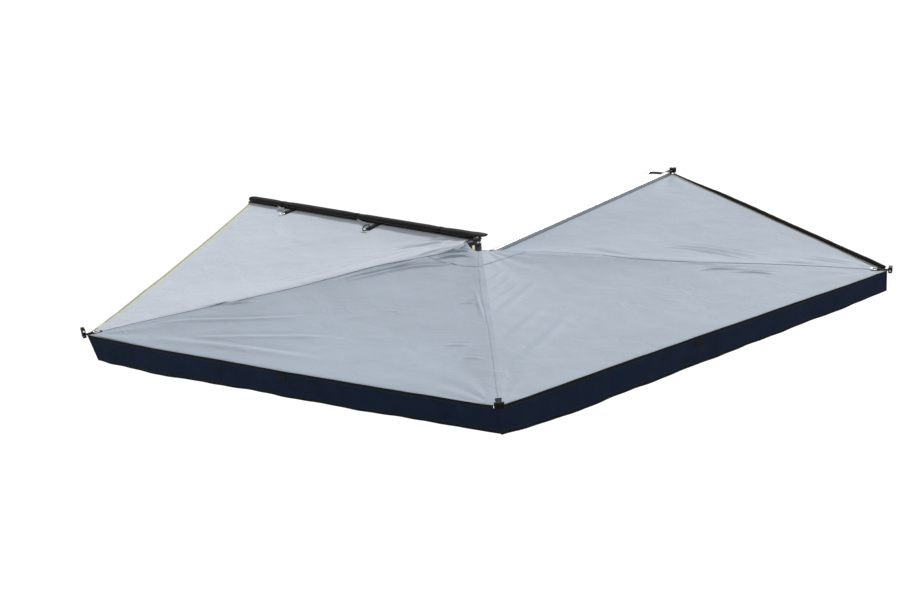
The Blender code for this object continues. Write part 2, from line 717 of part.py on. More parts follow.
def make_arms(hub, finishes):
    silver, black, chrome, rubber, leg_silver, cast = finishes
    shared = {
        "knuckle": knuckle_mesh(),
        "channel": channel_mesh(),
        "tip": tip_mesh(),
        "plate": corner_plate_mesh(),
        "pin": leg_pin_mesh(),
    }
    leg = {
        "outer": leg_outer_mesh(),
        "inner": leg_inner_mesh(),
        "foot": foot_mesh(),
        "collar": collar_mesh(),
        "lever": lever_mesh(),
    }
    arms = []
    for arm in range(4):
        number = arm + 1
        turn = Matrix.Rotation(math.radians(ARM_ANGLES[arm] + 90), 4, "Z")
        swing = axis(f"arm_{number}_axis", hub, up_from(z=level(arm)) @ turn)
        sloped = axis(f"arm_{number}_line", swing, Matrix.Rotation(SLOPE, 4, "Y"))
        piece(f"arm_{number}_knuckle", shared["knuckle"], cast, swing, smooth=40)
        piece(f"arm_{number}_channel", shared["channel"], silver, sloped, smooth=40)
        piece(f"arm_{number}_tip", shared["tip"], black, sloped, bevel=EDGE_BREAK)
        if arm < 3:
            piece(f"arm_{number}_corner_plate", shared["plate"], black, sloped)
            pin = up_from(arm_places()["pin"], 0, -LEG_AXIS_DROP)
            piece(f"leg_{number}_pin", shared["pin"], chrome, sloped, pin, smooth=40)
            make_leg(number, sloped, leg, leg_silver, black, rubber)
        arms.append(swing)
    return arms


# Canopy

def arm_top(arm, reach):
    """A point on top of an arm's centre line, under the canopy."""
    middle = TOP + TOUCH + CANOPY_THICKNESS / 2
    along = heading(arm) * (reach * math.cos(SLOPE) + middle * math.sin(SLOPE))
    return along + Vector((0, 0, level(arm) - reach * math.sin(SLOPE) + middle * math.cos(SLOPE)))


def across_arms(first, second, rest_first, rest_second, sag, columns):
    """Points across one panel: flat where it lies on an arm, with a sag between."""
    width = (second - first).length
    begin = rest_first / width
    end = 1 - rest_second / width
    shares = [0] if begin else []
    shares += [begin + (end - begin) * i / columns for i in range(columns + 1)]
    shares += [1] if end < 1 else []
    row = []
    for share in shares:
        drop = min(max((share - begin) / (end - begin), 0), 1)
        point = first.lerp(second, share)
        point.z = first.z + (second.z - first.z) * drop - 4 * sag * drop * (1 - drop)
        row.append(point)
    return row


def reaches(rows):
    """Distances along an arm for the rows of a panel, closer together near the upright bolt."""
    shares = [(i / rows) ** 1.4 for i in range(rows + 1)]
    return [CANOPY_CUT + (ARM_LENGTH - CANOPY_CUT) * share for share in shares]


def sag_at(reach):
    share = (reach - CANOPY_CUT) / (ARM_LENGTH - CANOPY_CUT)
    return CANOPY_SAG * math.sin(math.pi * share ** 0.8) + 0.2 * CANOPY_SAG * share


def seam_gap(point, arm, side):
    """Moves a point sideways from an arm's centre line by half the seam's gap."""
    return point + Vector((-heading(arm).y, heading(arm).x, 0)) * (side * TOUCH / 2)


def rest_width(arm, other, reach):
    """Distance across a panel over which it lies on an arm."""
    spread = math.radians(abs(ARM_ANGLES[other] - ARM_ANGLES[arm]))
    return min(CANOPY_REST / math.cos(spread / 2), 0.3 * reach * spread)


def panel_between(arm, columns=7, rows=8):
    """A panel from the top of one arm to the top of the next."""
    grid = []
    for reach in reaches(rows):
        first = seam_gap(arm_top(arm, reach), arm, 1)
        second = seam_gap(arm_top(arm + 1, reach), arm + 1, -1)
        rest = rest_width(arm, arm + 1, reach)
        grid.append(across_arms(first, second, rest, rest, sag_at(reach), columns))
    return sheet(grid, CANOPY_THICKNESS)


def panel_from_rail(columns=7, rows=8):
    """The front panel, from the rail's top keder groove to the top of the first arm."""
    grid = []
    groove = RAIL_HEIGHT / 2 - KEDER_EDGE
    for reach in reaches(rows):
        share = (reach - CANOPY_CUT) / (ARM_LENGTH - CANOPY_CUT)
        along = CANOPY_RAIL_START + (CANOPY_RAIL_END - CANOPY_RAIL_START) * share
        first = Vector((RAIL_FACE - TOUCH, along, groove))
        second = seam_gap(arm_top(0, reach), 0, -1)
        spread = math.radians(ARM_1_ANGLE)
        rest = min(CANOPY_REST / math.cos(spread / 2), 0.3 * reach * spread)
        grid.append(across_arms(first, second, 0, rest, sag_at(reach), columns))
    return sheet(grid, CANOPY_THICKNESS)


def side_point(reach):
    """A point beside the fourth arm, where the last panel is laced to it."""
    out = heading(3)
    aside = Vector((out.y, -out.x, 0)) * (CHANNEL_WIDTH / 2 + TOUCH)
    middle = Vector((0, 0, level(3) - CANOPY_SIDE_DROP - reach * math.sin(SLOPE)))
    return out * reach * math.cos(SLOPE) + middle + aside


def panel_to_side(columns=7, rows=8):
    """The last panel, from the top of the third arm to the near side of the fourth."""
    grid = []
    for reach in reaches(rows):
        first = seam_gap(arm_top(2, reach), 2, 1)
        rest = rest_width(2, 3, reach)
        grid.append(across_arms(first, side_point(reach), rest, 0, sag_at(reach), columns))
    return sheet(grid, CANOPY_THICKNESS)


def valance_between(arm, columns=36, rows=4):
    """A hanging border under a panel's outer edge, with its main folds."""
    first = arm_top(arm, ARM_LENGTH)
    second = arm_top(arm + 1, ARM_LENGTH)
    along = (second - first).normalized()
    outward = Vector((along.y, -along.x, 0)).normalized()
    width = (second - first).length
    rest = rest_width(arm, arm + 1, ARM_LENGTH)
    edge = across_arms(first, second, rest, rest, sag_at(ARM_LENGTH), 20)
    shares = [(point - first).dot(along) / width for point in edge]
    heights = [point.z for point in edge]
    inset = 0.004
    grid = []
    for i in range(columns + 1):
        share = (inset + (width - 2 * inset) * i / columns) / width
        top = float(np.interp(share, shares, heights)) - CANOPY_THICKNESS / 2 - TOUCH
        column = []
        for j in range(rows + 1):
            down = j / rows
            wave = VALANCE_FOLD * down * math.sin(2 * math.pi * VALANCE_FOLDS * share + arm)
            point = first.lerp(second, share) + outward * (wave - CANOPY_THICKNESS)
            point.z = top - VALANCE_HEIGHT * down
            column.append(point)
        grid.append(column)
    return sheet(grid, CANOPY_THICKNESS, outward)


def make_canopy(hub, arms, front_cloth, cloth, border):
    undo = [arm.matrix_basis.inverted() for arm in arms]
    piece("canopy_panel_front", panel_from_rail(), front_cloth, hub, smooth=40)
    piece("canopy_panel_left", placed(panel_between(0), undo[1]), cloth, arms[1], smooth=40)
    piece("canopy_panel_rear", placed(panel_between(1), undo[2]), cloth, arms[2], smooth=40)
    piece("canopy_panel_right", placed(panel_to_side(), undo[3]), cloth, arms[3], smooth=40)
    piece("valance_left", placed(valance_between(0), undo[1]), border, arms[1], smooth=40)
    piece("valance_rear", placed(valance_between(1), undo[2]), border, arms[2], smooth=40)


# Cover and tie

def make_cover(hub, vinyl):
    """The cover rolled up on the rail, pinched at its ties and rounded at its ends.

    Its end at the hub is pressed flatter, because it lies on the hub's top plate.
    """
    stations = 32
    stations_on_hub = 3
    around = 14
    middle_x = (RAIL_FACE + RAIL_BACK) / 2 + COVER_INBOARD
    floor = -COVER_FLAT * COVER_HEIGHT
    rail_top = RAIL_HEIGHT / 2 + TOUCH
    hub_top = HUB_INSIDE + HUB_PLATE + TOUCH
    middle_z = rail_top - floor
    crest = middle_z + COVER_HEIGHT / 2
    leaves_hub = (COVER_PAST_BOLT + WEB_END + TOUCH) / COVER_LENGTH
    shares = [leaves_hub * i / stations_on_hub for i in range(stations_on_hub)]
    shares += [leaves_hub + (1 - leaves_hub) * i / stations for i in range(stations + 1)]
    rows = []
    for share in shares:
        y = COVER_LENGTH * share - COVER_PAST_BOLT
        end = min(min(share, 1 - share) * COVER_LENGTH / COVER_ROUND, 1)
        swell = COVER_END + (1 - COVER_END) * math.sqrt(1 - (1 - end) ** 2)
        swell -= COVER_PINCH / COVER_HEIGHT * math.sin(math.pi * COVER_TIES * share) ** 8
        press = 1
        if share <= leaves_hub:
            press = (crest - hub_top) / (crest - rail_top)
        row = []
        for j in range(around):
            angle = 2 * math.pi * j / around
            fold = 1 - 0.07 * math.cos(3 * angle + 9 * share)
            across = COVER_DEPTH / 2 * swell * fold * math.cos(angle)
            lift = max(COVER_HEIGHT / 2 * swell * math.sin(angle), floor)
            row.append(Vector((middle_x + across, y, crest - (crest - middle_z - lift) * press)))
        rows.append(row)
    piece("travel_cover", skin(rows), vinyl, hub, smooth=50)


def ribbon(rows, thickness):
    """A band along a route, as thick across the route everywhere."""
    rings = []
    for i, (left, right) in enumerate(rows):
        before = rows[max(i - 1, 0)][0]
        after = rows[min(i + 1, len(rows) - 1)][0]
        along = (after - before).normalized()
        normal = along.cross(right - left).normalized() * thickness / 2
        rings.append([left + normal, right + normal, right - normal, left - normal])
    return skin(rings)


def make_tie(arms, webbing, steel):
    undo = arms[3].matrix_basis.inverted()
    bolt = ARM_LENGTH - TIE_BACK
    heading_angle = math.radians(TIE_HEADING)
    along = Vector((math.cos(heading_angle), math.sin(heading_angle), 0))
    aside = Vector((-along.y, along.x, 0)) * TIE_WIDTH / 2
    anchor = heading(3) * bolt * math.cos(SLOPE)
    anchor.z = level(3) - bolt * math.sin(SLOPE)
    begin = anchor + along * (CHANNEL_WIDTH / 2 + TIE_THICKNESS)
    end = begin + along * TIE_LENGTH
    band = ribbon([(p - aside, p + aside) for p in (begin, begin.lerp(end, 0.5), end)], TIE_THICKNESS)
    piece("tie_strap", placed(band, undo), webbing, arms[3])
    turn = Matrix.Rotation(heading_angle, 4, "Z")
    piece("tie_hook", placed(hook_mesh(), undo @ up_from(*end) @ turn), steel, arms[3], smooth=50)


def hook_mesh():
    """A wire hook: a round bend that starts behind the strap's end and stays open beside it."""
    ring = HOOK_RADIUS
    wire = HOOK_WIRE / 2
    steps = 12
    sides = 8
    rows = []
    for step in range(steps + 1):
        angle = math.radians(HOOK_BACK + (HOOK_TURN * step / steps))
        out = Vector((-math.cos(angle), HOOK_NARROW * math.sin(angle), 0))
        point = Vector((wire + TOUCH + ring, 0, 0)) + ring * out
        across = Vector((-HOOK_NARROW * math.cos(angle), math.sin(angle), 0)).normalized()
        row = []
        for k in range(sides):
            turn = 2 * math.pi * k / sides
            row.append(point + wire * (across * math.cos(turn) + Vector((0, 0, math.sin(turn)))))
        rows.append(row)
    return skin(rows)


def build():
    for item in list(bpy.data.objects):
        bpy.data.objects.remove(item)

    silver = material("arm_silver", (0.80, 0.81, 0.83), 0.28, 0.9)
    leg_silver = material("leg_silver", (0.66, 0.67, 0.69), 0.35, 0.9)
    rail_black = material("rail_black", (0.020, 0.020, 0.022), 0.45, 0.3)
    black = material("black_nylon", (0.025, 0.025, 0.028), 0.5)
    cast = material("cast_grey", (0.07, 0.075, 0.085), 0.45, 0.4)
    zinc = material("yellow_zinc", (0.72, 0.66, 0.40), 0.35, 0.8)
    chrome = material("chrome", (0.80, 0.80, 0.82), 0.15, 1.0)
    steel = material("bracket_black", (0.03, 0.03, 0.032), 0.5, 0.2)
    rubber = material("rubber", (0.02, 0.02, 0.02), 0.8)
    front_cloth = material("canopy_front", (0.62, 0.66, 0.72), 0.6)
    cloth = material("canopy", (0.43, 0.49, 0.57), 0.6)
    border = material("valance", (0.012, 0.016, 0.030), 0.7)
    vinyl = material("cover_vinyl", (0.012, 0.012, 0.014), 0.4)
    webbing = material("webbing", (0.03, 0.03, 0.033), 0.8)

    hub = axis("hub", matrix=Matrix.Translation(PIVOT))
    make_rail(hub, rail_black, black)
    make_hub(hub, cast, zinc, chrome)
    make_brackets(hub, steel, chrome)
    arms = make_arms(hub, (silver, black, chrome, rubber, leg_silver, cast))
    make_canopy(hub, arms, front_cloth, cloth, border)
    make_cover(hub, vinyl)
    make_tie(arms, webbing, chrome)
    bpy.context.view_layer.update()


build()
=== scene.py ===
import json
import math

import bmesh
import bpy
import numpy as np
from mathutils import Matrix, Vector


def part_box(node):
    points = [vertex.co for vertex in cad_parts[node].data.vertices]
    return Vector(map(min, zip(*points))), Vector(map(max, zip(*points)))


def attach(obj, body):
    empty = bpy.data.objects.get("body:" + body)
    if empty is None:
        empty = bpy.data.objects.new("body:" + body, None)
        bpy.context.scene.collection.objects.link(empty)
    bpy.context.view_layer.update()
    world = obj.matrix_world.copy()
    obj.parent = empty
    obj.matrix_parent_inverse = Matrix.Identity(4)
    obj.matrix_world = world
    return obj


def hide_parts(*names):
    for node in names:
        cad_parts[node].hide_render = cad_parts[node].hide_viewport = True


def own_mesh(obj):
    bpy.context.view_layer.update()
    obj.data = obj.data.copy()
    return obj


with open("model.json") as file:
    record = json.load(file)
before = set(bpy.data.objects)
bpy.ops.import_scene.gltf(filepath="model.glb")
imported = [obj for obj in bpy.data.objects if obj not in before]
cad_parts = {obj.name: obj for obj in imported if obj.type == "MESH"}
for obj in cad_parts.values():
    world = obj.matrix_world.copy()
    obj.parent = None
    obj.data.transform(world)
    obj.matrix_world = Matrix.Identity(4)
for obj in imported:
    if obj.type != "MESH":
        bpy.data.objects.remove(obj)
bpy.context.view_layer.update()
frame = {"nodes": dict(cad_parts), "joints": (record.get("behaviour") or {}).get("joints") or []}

# Sizes of the awning, in metres
ARM_LENGTH = 2.2
ARM_DROP = 0.026
CHANNEL_WIDTH = 0.030
CHANNEL_HEIGHT = 0.028
GAP = 0.0003
CLOTH_THICKNESS = 0.0012
CLOTH_CUT = 0.085          # canopy's inner edge, from the upright bolt
CLOTH_SAG = 0.030
CLOTH_REST = 0.018         # half the strip that lies flat on an arm
SIDE_DROP = 0.010          # edge beside the fourth arm, below its centre line
RAIL_EDGE_START = 0.090
RAIL_EDGE_END = 2.131
KEDER_EDGE = 0.008         # groove's centre from the rail's edge
VALANCE_SLANT = 0.044      # lower corner at the first arm, drawn in
BINDING = 0.012
TAPE_WIDTH = 0.022
SEAM_WIDTHS = {0: 0.0075, 1: 0.006, 2: 0.0085}

# The photograph's camera
FOCAL_PIXELS = 1217.13
PHOTO_WIDTH = 900
SENSOR = 36.0
YAW = 45.0554
PITCH = 18.8954
ROLL = 5.7000
CAMERA_PLACE = (-4.9240, -5.6565, 2.0446)

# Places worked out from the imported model
joints = {joint["name"]: joint for joint in frame["joints"]}
swings = [joints[f"arm_{number}_swing"] for number in (1, 2, 3, 4)]
ANGLES = [-swing["range_deg"][0] for swing in swings]
LEVELS = [swing["pos_m"][2] for swing in swings]
HUB = Vector(swings[0]["pos_m"][:2] + [sum(LEVELS) / 4])
HEADINGS = [Vector((-math.sin(math.radians(a)), math.cos(math.radians(a)), 0)) for a in ANGLES]
SLOPE = math.asin(ARM_DROP / ARM_LENGTH)
rail_low, rail_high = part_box("rail")
cover_low, cover_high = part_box("travel_cover")
RAIL_FACE = rail_low.x
GROOVE_LEVEL = rail_high.z - KEDER_EDGE
FLOOR_LEVEL = -1.985
BODY_OF_PANEL = {"front": "root", "left": "arm_2", "rear": "arm_3", "right": "arm_4"}


# Meshes

def mesh_object(name, points, faces, uvs=None, smooth_angle=40):
    """A new object at the origin from world points and faces; uvs are one pair for each point."""
    mesh = bpy.data.meshes.new(name)
    mesh.from_pydata([tuple(p) for p in points], [], [tuple(f) for f in faces])
    if uvs is not None:
        layer = mesh.uv_layers.new(name="cloth")
        loop_points = np.zeros(len(mesh.loops), int)
        mesh.loops.foreach_get("vertex_index", loop_points)
        layer.data.foreach_set("uv", np.asarray(uvs, float)[loop_points].ravel())
    mesh.shade_smooth()
    if smooth_angle:
        mesh.set_sharp_from_angle(angle=math.radians(smooth_angle))
    made = bpy.data.objects.new(name, mesh)
    bpy.context.scene.collection.objects.link(made)
    return made


def shell(name, upper, under, uvs, closed=False, smooth_angle=40):
    """A closed body between two grids of points; closed joins each row's ends."""
    rows, columns = upper.shape[:2]
    count = rows * columns
    index = np.arange(count).reshape(rows, columns)
    faces = []
    last = columns if closed else columns - 1
    for i in range(rows - 1):
        for j in range(last):
            k = (j + 1) % columns
            a, b, c, d = index[i, j], index[i, k], index[i + 1, k], index[i + 1, j]
            faces.append((a, b, c, d))
            faces.append((d + count, c + count, b + count, a + count))
    edges = []
    for j in range(last):
        k = (j + 1) % columns
        edges.append((index[0, k], index[0, j]))
        edges.append((index[-1, j], index[-1, k]))
    if not closed:
        for i in range(rows - 1):
            edges.append((index[i, 0], index[i + 1, 0]))
            edges.append((index[i + 1, -1], index[i, -1]))
    faces += [(a, b, b + count, a + count) for a, b in [(q, p) for p, q in edges]]
    points = np.concatenate([upper.reshape(-1, 3), under.reshape(-1, 3)])
    made = mesh_object(name, points, faces, np.concatenate([uvs.reshape(-1, 2)] * 2), None)
    face_outward(made)
    if smooth_angle:
        made.data.set_sharp_from_angle(angle=math.radians(smooth_angle))
    return made


def face_outward(made):
    """Turns all faces outwards."""
    bm = bmesh.new()
    bm.from_mesh(made.data)
    bmesh.ops.recalc_face_normals(bm, faces=bm.faces)
    bm.to_mesh(made.data)
    bm.free()


def grid_normals(grid):
    """Unit normals of a grid of points, upward where it lies flat."""
    along = np.gradient(grid, axis=0)
    across = np.gradient(grid, axis=1)
    normal = np.cross(across, along)
    normal /= np.maximum(np.linalg.norm(normal, axis=2, keepdims=True), 1e-12)
    turn = np.sign(normal[..., 2].sum()) or 1.0
    return normal * turn


def spans_of(grid):
    """Distances along and across a grid, in metres, for its cloth's weave."""
    down = np.linalg.norm(np.diff(grid, axis=0), axis=2).mean(1)
    side = np.linalg.norm(np.diff(grid, axis=1), axis=2)
    v = np.concatenate([[0], np.cumsum(down)])
    u = np.concatenate([np.zeros((len(grid), 1)), np.cumsum(side, axis=1)], axis=1)
    return np.stack([u, np.repeat(v[:, None], grid.shape[1], axis=1)], axis=2)


def cloth_sheet(name, grid, thickness, lift=0.0):
    normal = grid_normals(grid)
    upper = grid + normal * (lift + thickness / 2)
    under = grid + normal * (lift - thickness / 2)
    return shell(name, upper, under, spans_of(grid), smooth_angle=60)


def frames_along(path):
    """Tangents and two side directions at each point of a path, turned as little as can be."""
    path = np.asarray(path, float)
    tangents = np.gradient(path, axis=0)
    tangents /= np.linalg.norm(tangents, axis=1, keepdims=True)
    start = np.array([0, 0, 1.0]) if abs(tangents[0][2]) < 0.9 else np.array([1.0, 0, 0])
    first = np.cross(tangents[0], start)
    sides = [first / np.linalg.norm(first)]
    for tangent in tangents[1:]:
        side = sides[-1] - tangent * sides[-1].dot(tangent)
        sides.append(side / np.linalg.norm(side))
    sides = np.array(sides)
    return path, tangents, sides, np.cross(tangents, sides)


def tube(name, path, radius, sides=10, loop=False, flat=1.0, smooth_angle=60):
    """A round bar along a path; loop closes it into a ring and flat squeezes its section."""
    if loop:
        path = list(path)
        extended = np.array(path[-2:] + path + path[:2], float)
        around = [part[2:-2] for part in frames_along(extended)]
    else:
        around = frames_along(path)
    path, _, side, up = around
    turns = np.linspace(0, 2 * math.pi, sides, endpoint=False)
    rings = path[:, None] + radius * (np.cos(turns)[None, :, None] * side[:, None]
                                      + flat * np.sin(turns)[None, :, None] * up[:, None])
    rows = len(rings)
    index = np.arange(rows * sides).reshape(rows, sides)
    faces = []
    for i in range(rows if loop else rows - 1):
        n = (i + 1) % rows
        for j in range(sides):
            k = (j + 1) % sides
            faces.append((index[i, j], index[i, k], index[n, k], index[n, j]))
    if not loop:
        faces += [tuple(index[0][::-1]), tuple(index[-1])]
    steps = np.concatenate([[0], np.cumsum(np.linalg.norm(np.diff(path, axis=0), axis=1))])
    uvs = np.stack(np.meshgrid(np.arange(sides) / sides, steps), axis=2)
    made = mesh_object(name, rings.reshape(-1, 3), faces, uvs.reshape(-1, 2), None)
    face_outward(made)
    made.data.set_sharp_from_angle(angle=math.radians(smooth_angle))
    return made


def turned(name, profile, place, sides=24, smooth_angle=40):
    """A profile of (radius, height), starting and ending on the axis, turned about Z and placed."""
    points, rings = [], []
    for radius, height in profile:
        if radius == 0:
            rings.append([len(points)])
            points.append((0, 0, height))
            continue
        rings.append(list(range(len(points), len(points) + sides)))
        for k in range(sides):
            a = 2 * math.pi * k / sides
            points.append((radius * math.cos(a), radius * math.sin(a), height))
    faces = []
    for low, high in zip(rings, rings[1:]):
        for k in range(sides):
            n = (k + 1) % sides
            corners = [low[k % len(low)], low[n % len(low)], high[n % len(high)], high[k % len(high)]]
            faces.append(tuple(dict.fromkeys(corners)))
    made = mesh_object(name, [place @ Vector(p) for p in points], faces, None, None)
    face_outward(made)
    made.data.set_sharp_from_angle(angle=math.radians(smooth_angle))
    return made


def joined(name, parts):
    """One object from several, keeping each one's material and UVs."""
    bm = bmesh.new()
    finishes = []
    for part in parts:
        part.data.transform(part.matrix_world)
        start = len(bm.faces)
        bm.from_mesh(part.data)
        bm.faces.ensure_lookup_table()
        offset = len(finishes)
        finishes += [slot.material for slot in part.material_slots] or [None]
        for face in bm.faces[start:]:
            face.material_index += offset
    mesh = bpy.data.meshes.new(name)
    bm.to_mesh(mesh)
    bm.free()
    kept = list(dict.fromkeys(finishes))
    for finish in kept:
        mesh.materials.append(finish)
    index = np.zeros(len(mesh.polygons), int)
    mesh.polygons.foreach_get("material_index", index)
    lookup = np.array([kept.index(finish) for finish in finishes])
    mesh.polygons.foreach_set("material_index", lookup[index])
    made = bpy.data.objects.new(name, mesh)
    bpy.context.scene.collection.objects.link(made)
    for part in parts:
        bpy.data.objects.remove(part)
    return made


def dress(made, finish):
    made.data.materials.clear()
    made.data.materials.append(finish)
    return made


# Finishes

class Finish:
    """A node material under construction."""

    def __init__(self, name, colour, roughness, metallic=0.0, **sockets):
        self.material = bpy.data.materials.new(name)
        self.material.use_nodes = True
        self.tree = self.material.node_tree
        self.shader = self.tree.nodes["Principled BSDF"]
        self.shader.inputs["Base Color"].default_value = (*colour, 1)
        self.shader.inputs["Roughness"].default_value = roughness
        self.shader.inputs["Metallic"].default_value = metallic
        for socket, value in sockets.items():
            self.shader.inputs[socket.replace("_", " ").title().replace("Ior", "IOR")].default_value = value
        self.height = None

    def node(self, kind, **settings):
        made = self.tree.nodes.new(kind)
        for key, value in settings.items():
            if key in made.inputs:
                made.inputs[key].default_value = value
            else:
                setattr(made, key, value)
        return made

    def link(self, out, into):
        self.tree.links.new(out, into)
        return out

    def place(self, source="Object", scale=(1, 1, 1), turn=(0, 0, 0)):
        """A pattern's coordinates: stretched and turned Object coordinates, or the piece's UV map."""
        start = self.node("ShaderNodeTexCoord").outputs[source]
        mapping = self.node("ShaderNodeMapping")
        mapping.vector_type = "POINT"
        mapping.inputs["Scale"].default_value = scale
        mapping.inputs["Rotation"].default_value = turn
        self.link(start, mapping.inputs["Vector"])
        return mapping.outputs["Vector"]

    def noise(self, place, scale, detail=3.0, roughness=0.5, distortion=0.0):
        made = self.node("ShaderNodeTexNoise", Scale=scale, Detail=detail, Roughness=roughness,
                         Distortion=distortion)
        self.link(place, made.inputs["Vector"])
        return made.outputs["Fac"]

    def wave(self, place, scale, axis="X", distortion=0.0, profile="SIN"):
        made = self.node("ShaderNodeTexWave", Scale=scale, Distortion=distortion)
        made.wave_type = "BANDS"
        made.bands_direction = axis
        made.wave_profile = profile
        self.link(place, made.inputs["Vector"])
        return made.outputs["Fac"]

    def spread(self, value, low, high, to_low=0.0, to_high=1.0):
        made = self.node("ShaderNodeMapRange")
        made.inputs["From Min"].default_value = low
        made.inputs["From Max"].default_value = high
        made.inputs["To Min"].default_value = to_low
        made.inputs["To Max"].default_value = to_high
        self.link(value, made.inputs["Value"])
        return made.outputs["Result"]

    def product(self, first, second):
        made = self.node("ShaderNodeMath", operation="MULTIPLY")
        self.link(first, made.inputs[0])
        self.link(second, made.inputs[1])
        return made.outputs[0]

    def colour(self, value, first, second):
        """The shader's colour goes from first to second with a pattern."""
        made = self.node("ShaderNodeMix", data_type="RGBA")
        current = self.shader.inputs["Base Color"]
        a = [s for s in made.inputs if s.name == "A" and s.type == "RGBA"][0]
        b = [s for s in made.inputs if s.name == "B" and s.type == "RGBA"][0]
        out = [s for s in made.outputs if s.type == "RGBA"][0]
        if first is None:
            self.link(current.links[0].from_socket, a)
        else:
            a.default_value = (*first, 1)
        b.default_value = (*second, 1)
        self.link(value, made.inputs["Factor"])
        self.link(out, current)
        return self

    def rough(self, value, low, high):
        self.link(self.spread(value, 0.0, 1.0, low, high), self.shader.inputs["Roughness"])
        return self

    def bump(self, value, distance, strength=1.0):
        made = self.node("ShaderNodeBump", Strength=strength, Distance=distance)
        self.link(value, made.inputs["Height"])
        if self.height is not None:
            self.link(self.height, made.inputs["Normal"])
        self.height = made.outputs["Normal"]
        self.link(self.height, self.shader.inputs["Normal"])
        return self


def shade(colour, factor):
    return tuple(min(channel * factor, 1) for channel in colour)


def coated_cloth(name, colour):
    """Silver-coated canopy cloth: a fine weave, sharp little creases, soft dents and cloudy tone."""
    made = Finish(name, colour, 0.6, specular_ior_level=0.12)
    uv = made.place("UV")
    flat = made.place("Object")
    cloud = made.noise(flat, 1.6, 4.0, 0.55)
    made.colour(made.spread(cloud, 0.3, 0.7), shade(colour, 0.94), shade(colour, 1.05))
    crinkle = made.noise(made.place("Object", (1, 1, 0.3)), 30.0, 5.0, 0.6, 0.6)
    made.rough(crinkle, 0.52, 0.70)
    made.bump(made.product(made.wave(uv, 900.0, "X"), made.wave(uv, 900.0, "Y")), 0.00012, 0.5)
    creases = made.node("ShaderNodeTexVoronoi", Scale=7.5, Randomness=1.0)
    creases.feature = "DISTANCE_TO_EDGE"
    bent = made.node("ShaderNodeTexNoise", Scale=5.0, Detail=3.0)
    made.link(flat, bent.inputs["Vector"])
    shifted = made.node("ShaderNodeVectorMath", operation="MULTIPLY_ADD")
    made.link(bent.outputs["Color"], shifted.inputs[0])
    shifted.inputs[1].default_value = (0.25, 0.25, 0.25)
    made.link(flat, shifted.inputs[2])
    made.link(shifted.outputs[0], creases.inputs["Vector"])
    patchy = made.spread(made.noise(flat, 2.3, 2.0), 0.5, 0.68)
    crease_lines = made.spread(creases.outputs["Distance"], 0.0, 0.10, 1.0, 0.0)
    made.bump(made.product(crease_lines, patchy), 0.004, 0.25)
    made.bump(crinkle, 0.0010, 0.5)
    made.bump(made.noise(flat, 6.0, 3.0, 0.5, 0.8), 0.010, 0.55)
    return made.material


def plain_cloth(name, colour, light=1.25, dark=0.75, weave=700.0, gloss=0.25):
    """Woven cloth with a visible thread, a little lint and soft creases."""
    made = Finish(name, colour, 0.8, specular_ior_level=gloss)
    uv = made.place("UV")
    flat = made.place("Object")
    thread = made.product(made.wave(uv, weave, "X"), made.wave(uv, weave, "Y"))
    cloud = made.noise(flat, 14.0, 5.0, 0.6)
    made.colour(made.spread(cloud, 0.3, 0.7), shade(colour, dark), shade(colour, light))
    made.rough(cloud, 0.68, 0.88)
    made.bump(thread, 0.0003, 0.6)
    made.bump(made.noise(flat, 30.0, 4.0, 0.55, 0.5), 0.0016, 0.5)
    return made.material


def ribbed_webbing(name, colour, ribs=520.0, gloss=0.12):
    """Woven strap with ribs across it."""
    made = Finish(name, colour, 0.75, specular_ior_level=gloss)
    uv = made.place("UV")
    rib = made.wave(uv, ribs, "Y")
    made.colour(made.product(rib, made.noise(uv, 220.0, 2.0)), shade(colour, 1.35), shade(colour, 0.7))
    made.rough(rib, 0.62, 0.85)
    made.bump(rib, 0.0006, 0.7)
    return made.material


def drawn_metal(name, colour, heading_degrees, roughness=0.3, metallic=1.0, sides=1.0):
    """Extruded and anodised aluminium: fine lines along the bar, soft smudges, and painted shade that makes the
    sides and underside darker than the top.
    """
    made = Finish(name, colour, roughness, metallic)
    turn = (0, 0, -math.radians(heading_degrees))
    stretched = made.place("Object", (2.0, 420.0, 420.0))
    mapping = stretched.node
    before = made.node("ShaderNodeMapping")
    before.inputs["Rotation"].default_value = turn
    made.link(mapping.inputs["Vector"].links[0].from_socket, before.inputs["Vector"])
    made.link(before.outputs["Vector"], mapping.inputs["Vector"])
    drawn = made.noise(stretched, 1.0, 3.0, 0.6)
    smudge = made.noise(made.place("Object"), 22.0, 4.0, 0.6)
    made.colour(made.spread(smudge, 0.35, 0.7), shade(colour, 0.96), shade(colour, 1.05))
    # Painted shade: with sides below 1, faces turned sideways or down are darkened by their world normal, as if
    # out of the light.
    if sides < 1.0:
        painted_shade_facing = made.node("ShaderNodeSeparateXYZ")
        made.link(made.node("ShaderNodeNewGeometry").outputs["Normal"], painted_shade_facing.inputs[0])
        made.colour(made.spread(painted_shade_facing.outputs["Z"], 0.35, 0.85, 1.0, 0.0), None, shade(colour, sides))
    made.rough(made.product(drawn, smudge), roughness - 0.06, roughness + 0.22)
    made.bump(drawn, 0.00008, 0.5)
    return made.material


def moulded(name, colour, roughness=0.5, grain=900.0, depth=0.00012, light=1.5, gloss=0.12):
    """Moulded plastic or rubber: a fine grain and slightly paler worn patches."""
    made = Finish(name, colour, roughness, specular_ior_level=gloss)
    flat = made.place("Object")
    grainy = made.noise(flat, grain, 2.0, 0.6)
    worn = made.noise(flat, 45.0, 4.0, 0.65)
    made.colour(made.spread(worn, 0.45, 0.75), colour, shade(colour, light))
    made.rough(worn, roughness - 0.08, roughness + 0.12)
    made.bump(grainy, depth, 0.6)
    return made.material


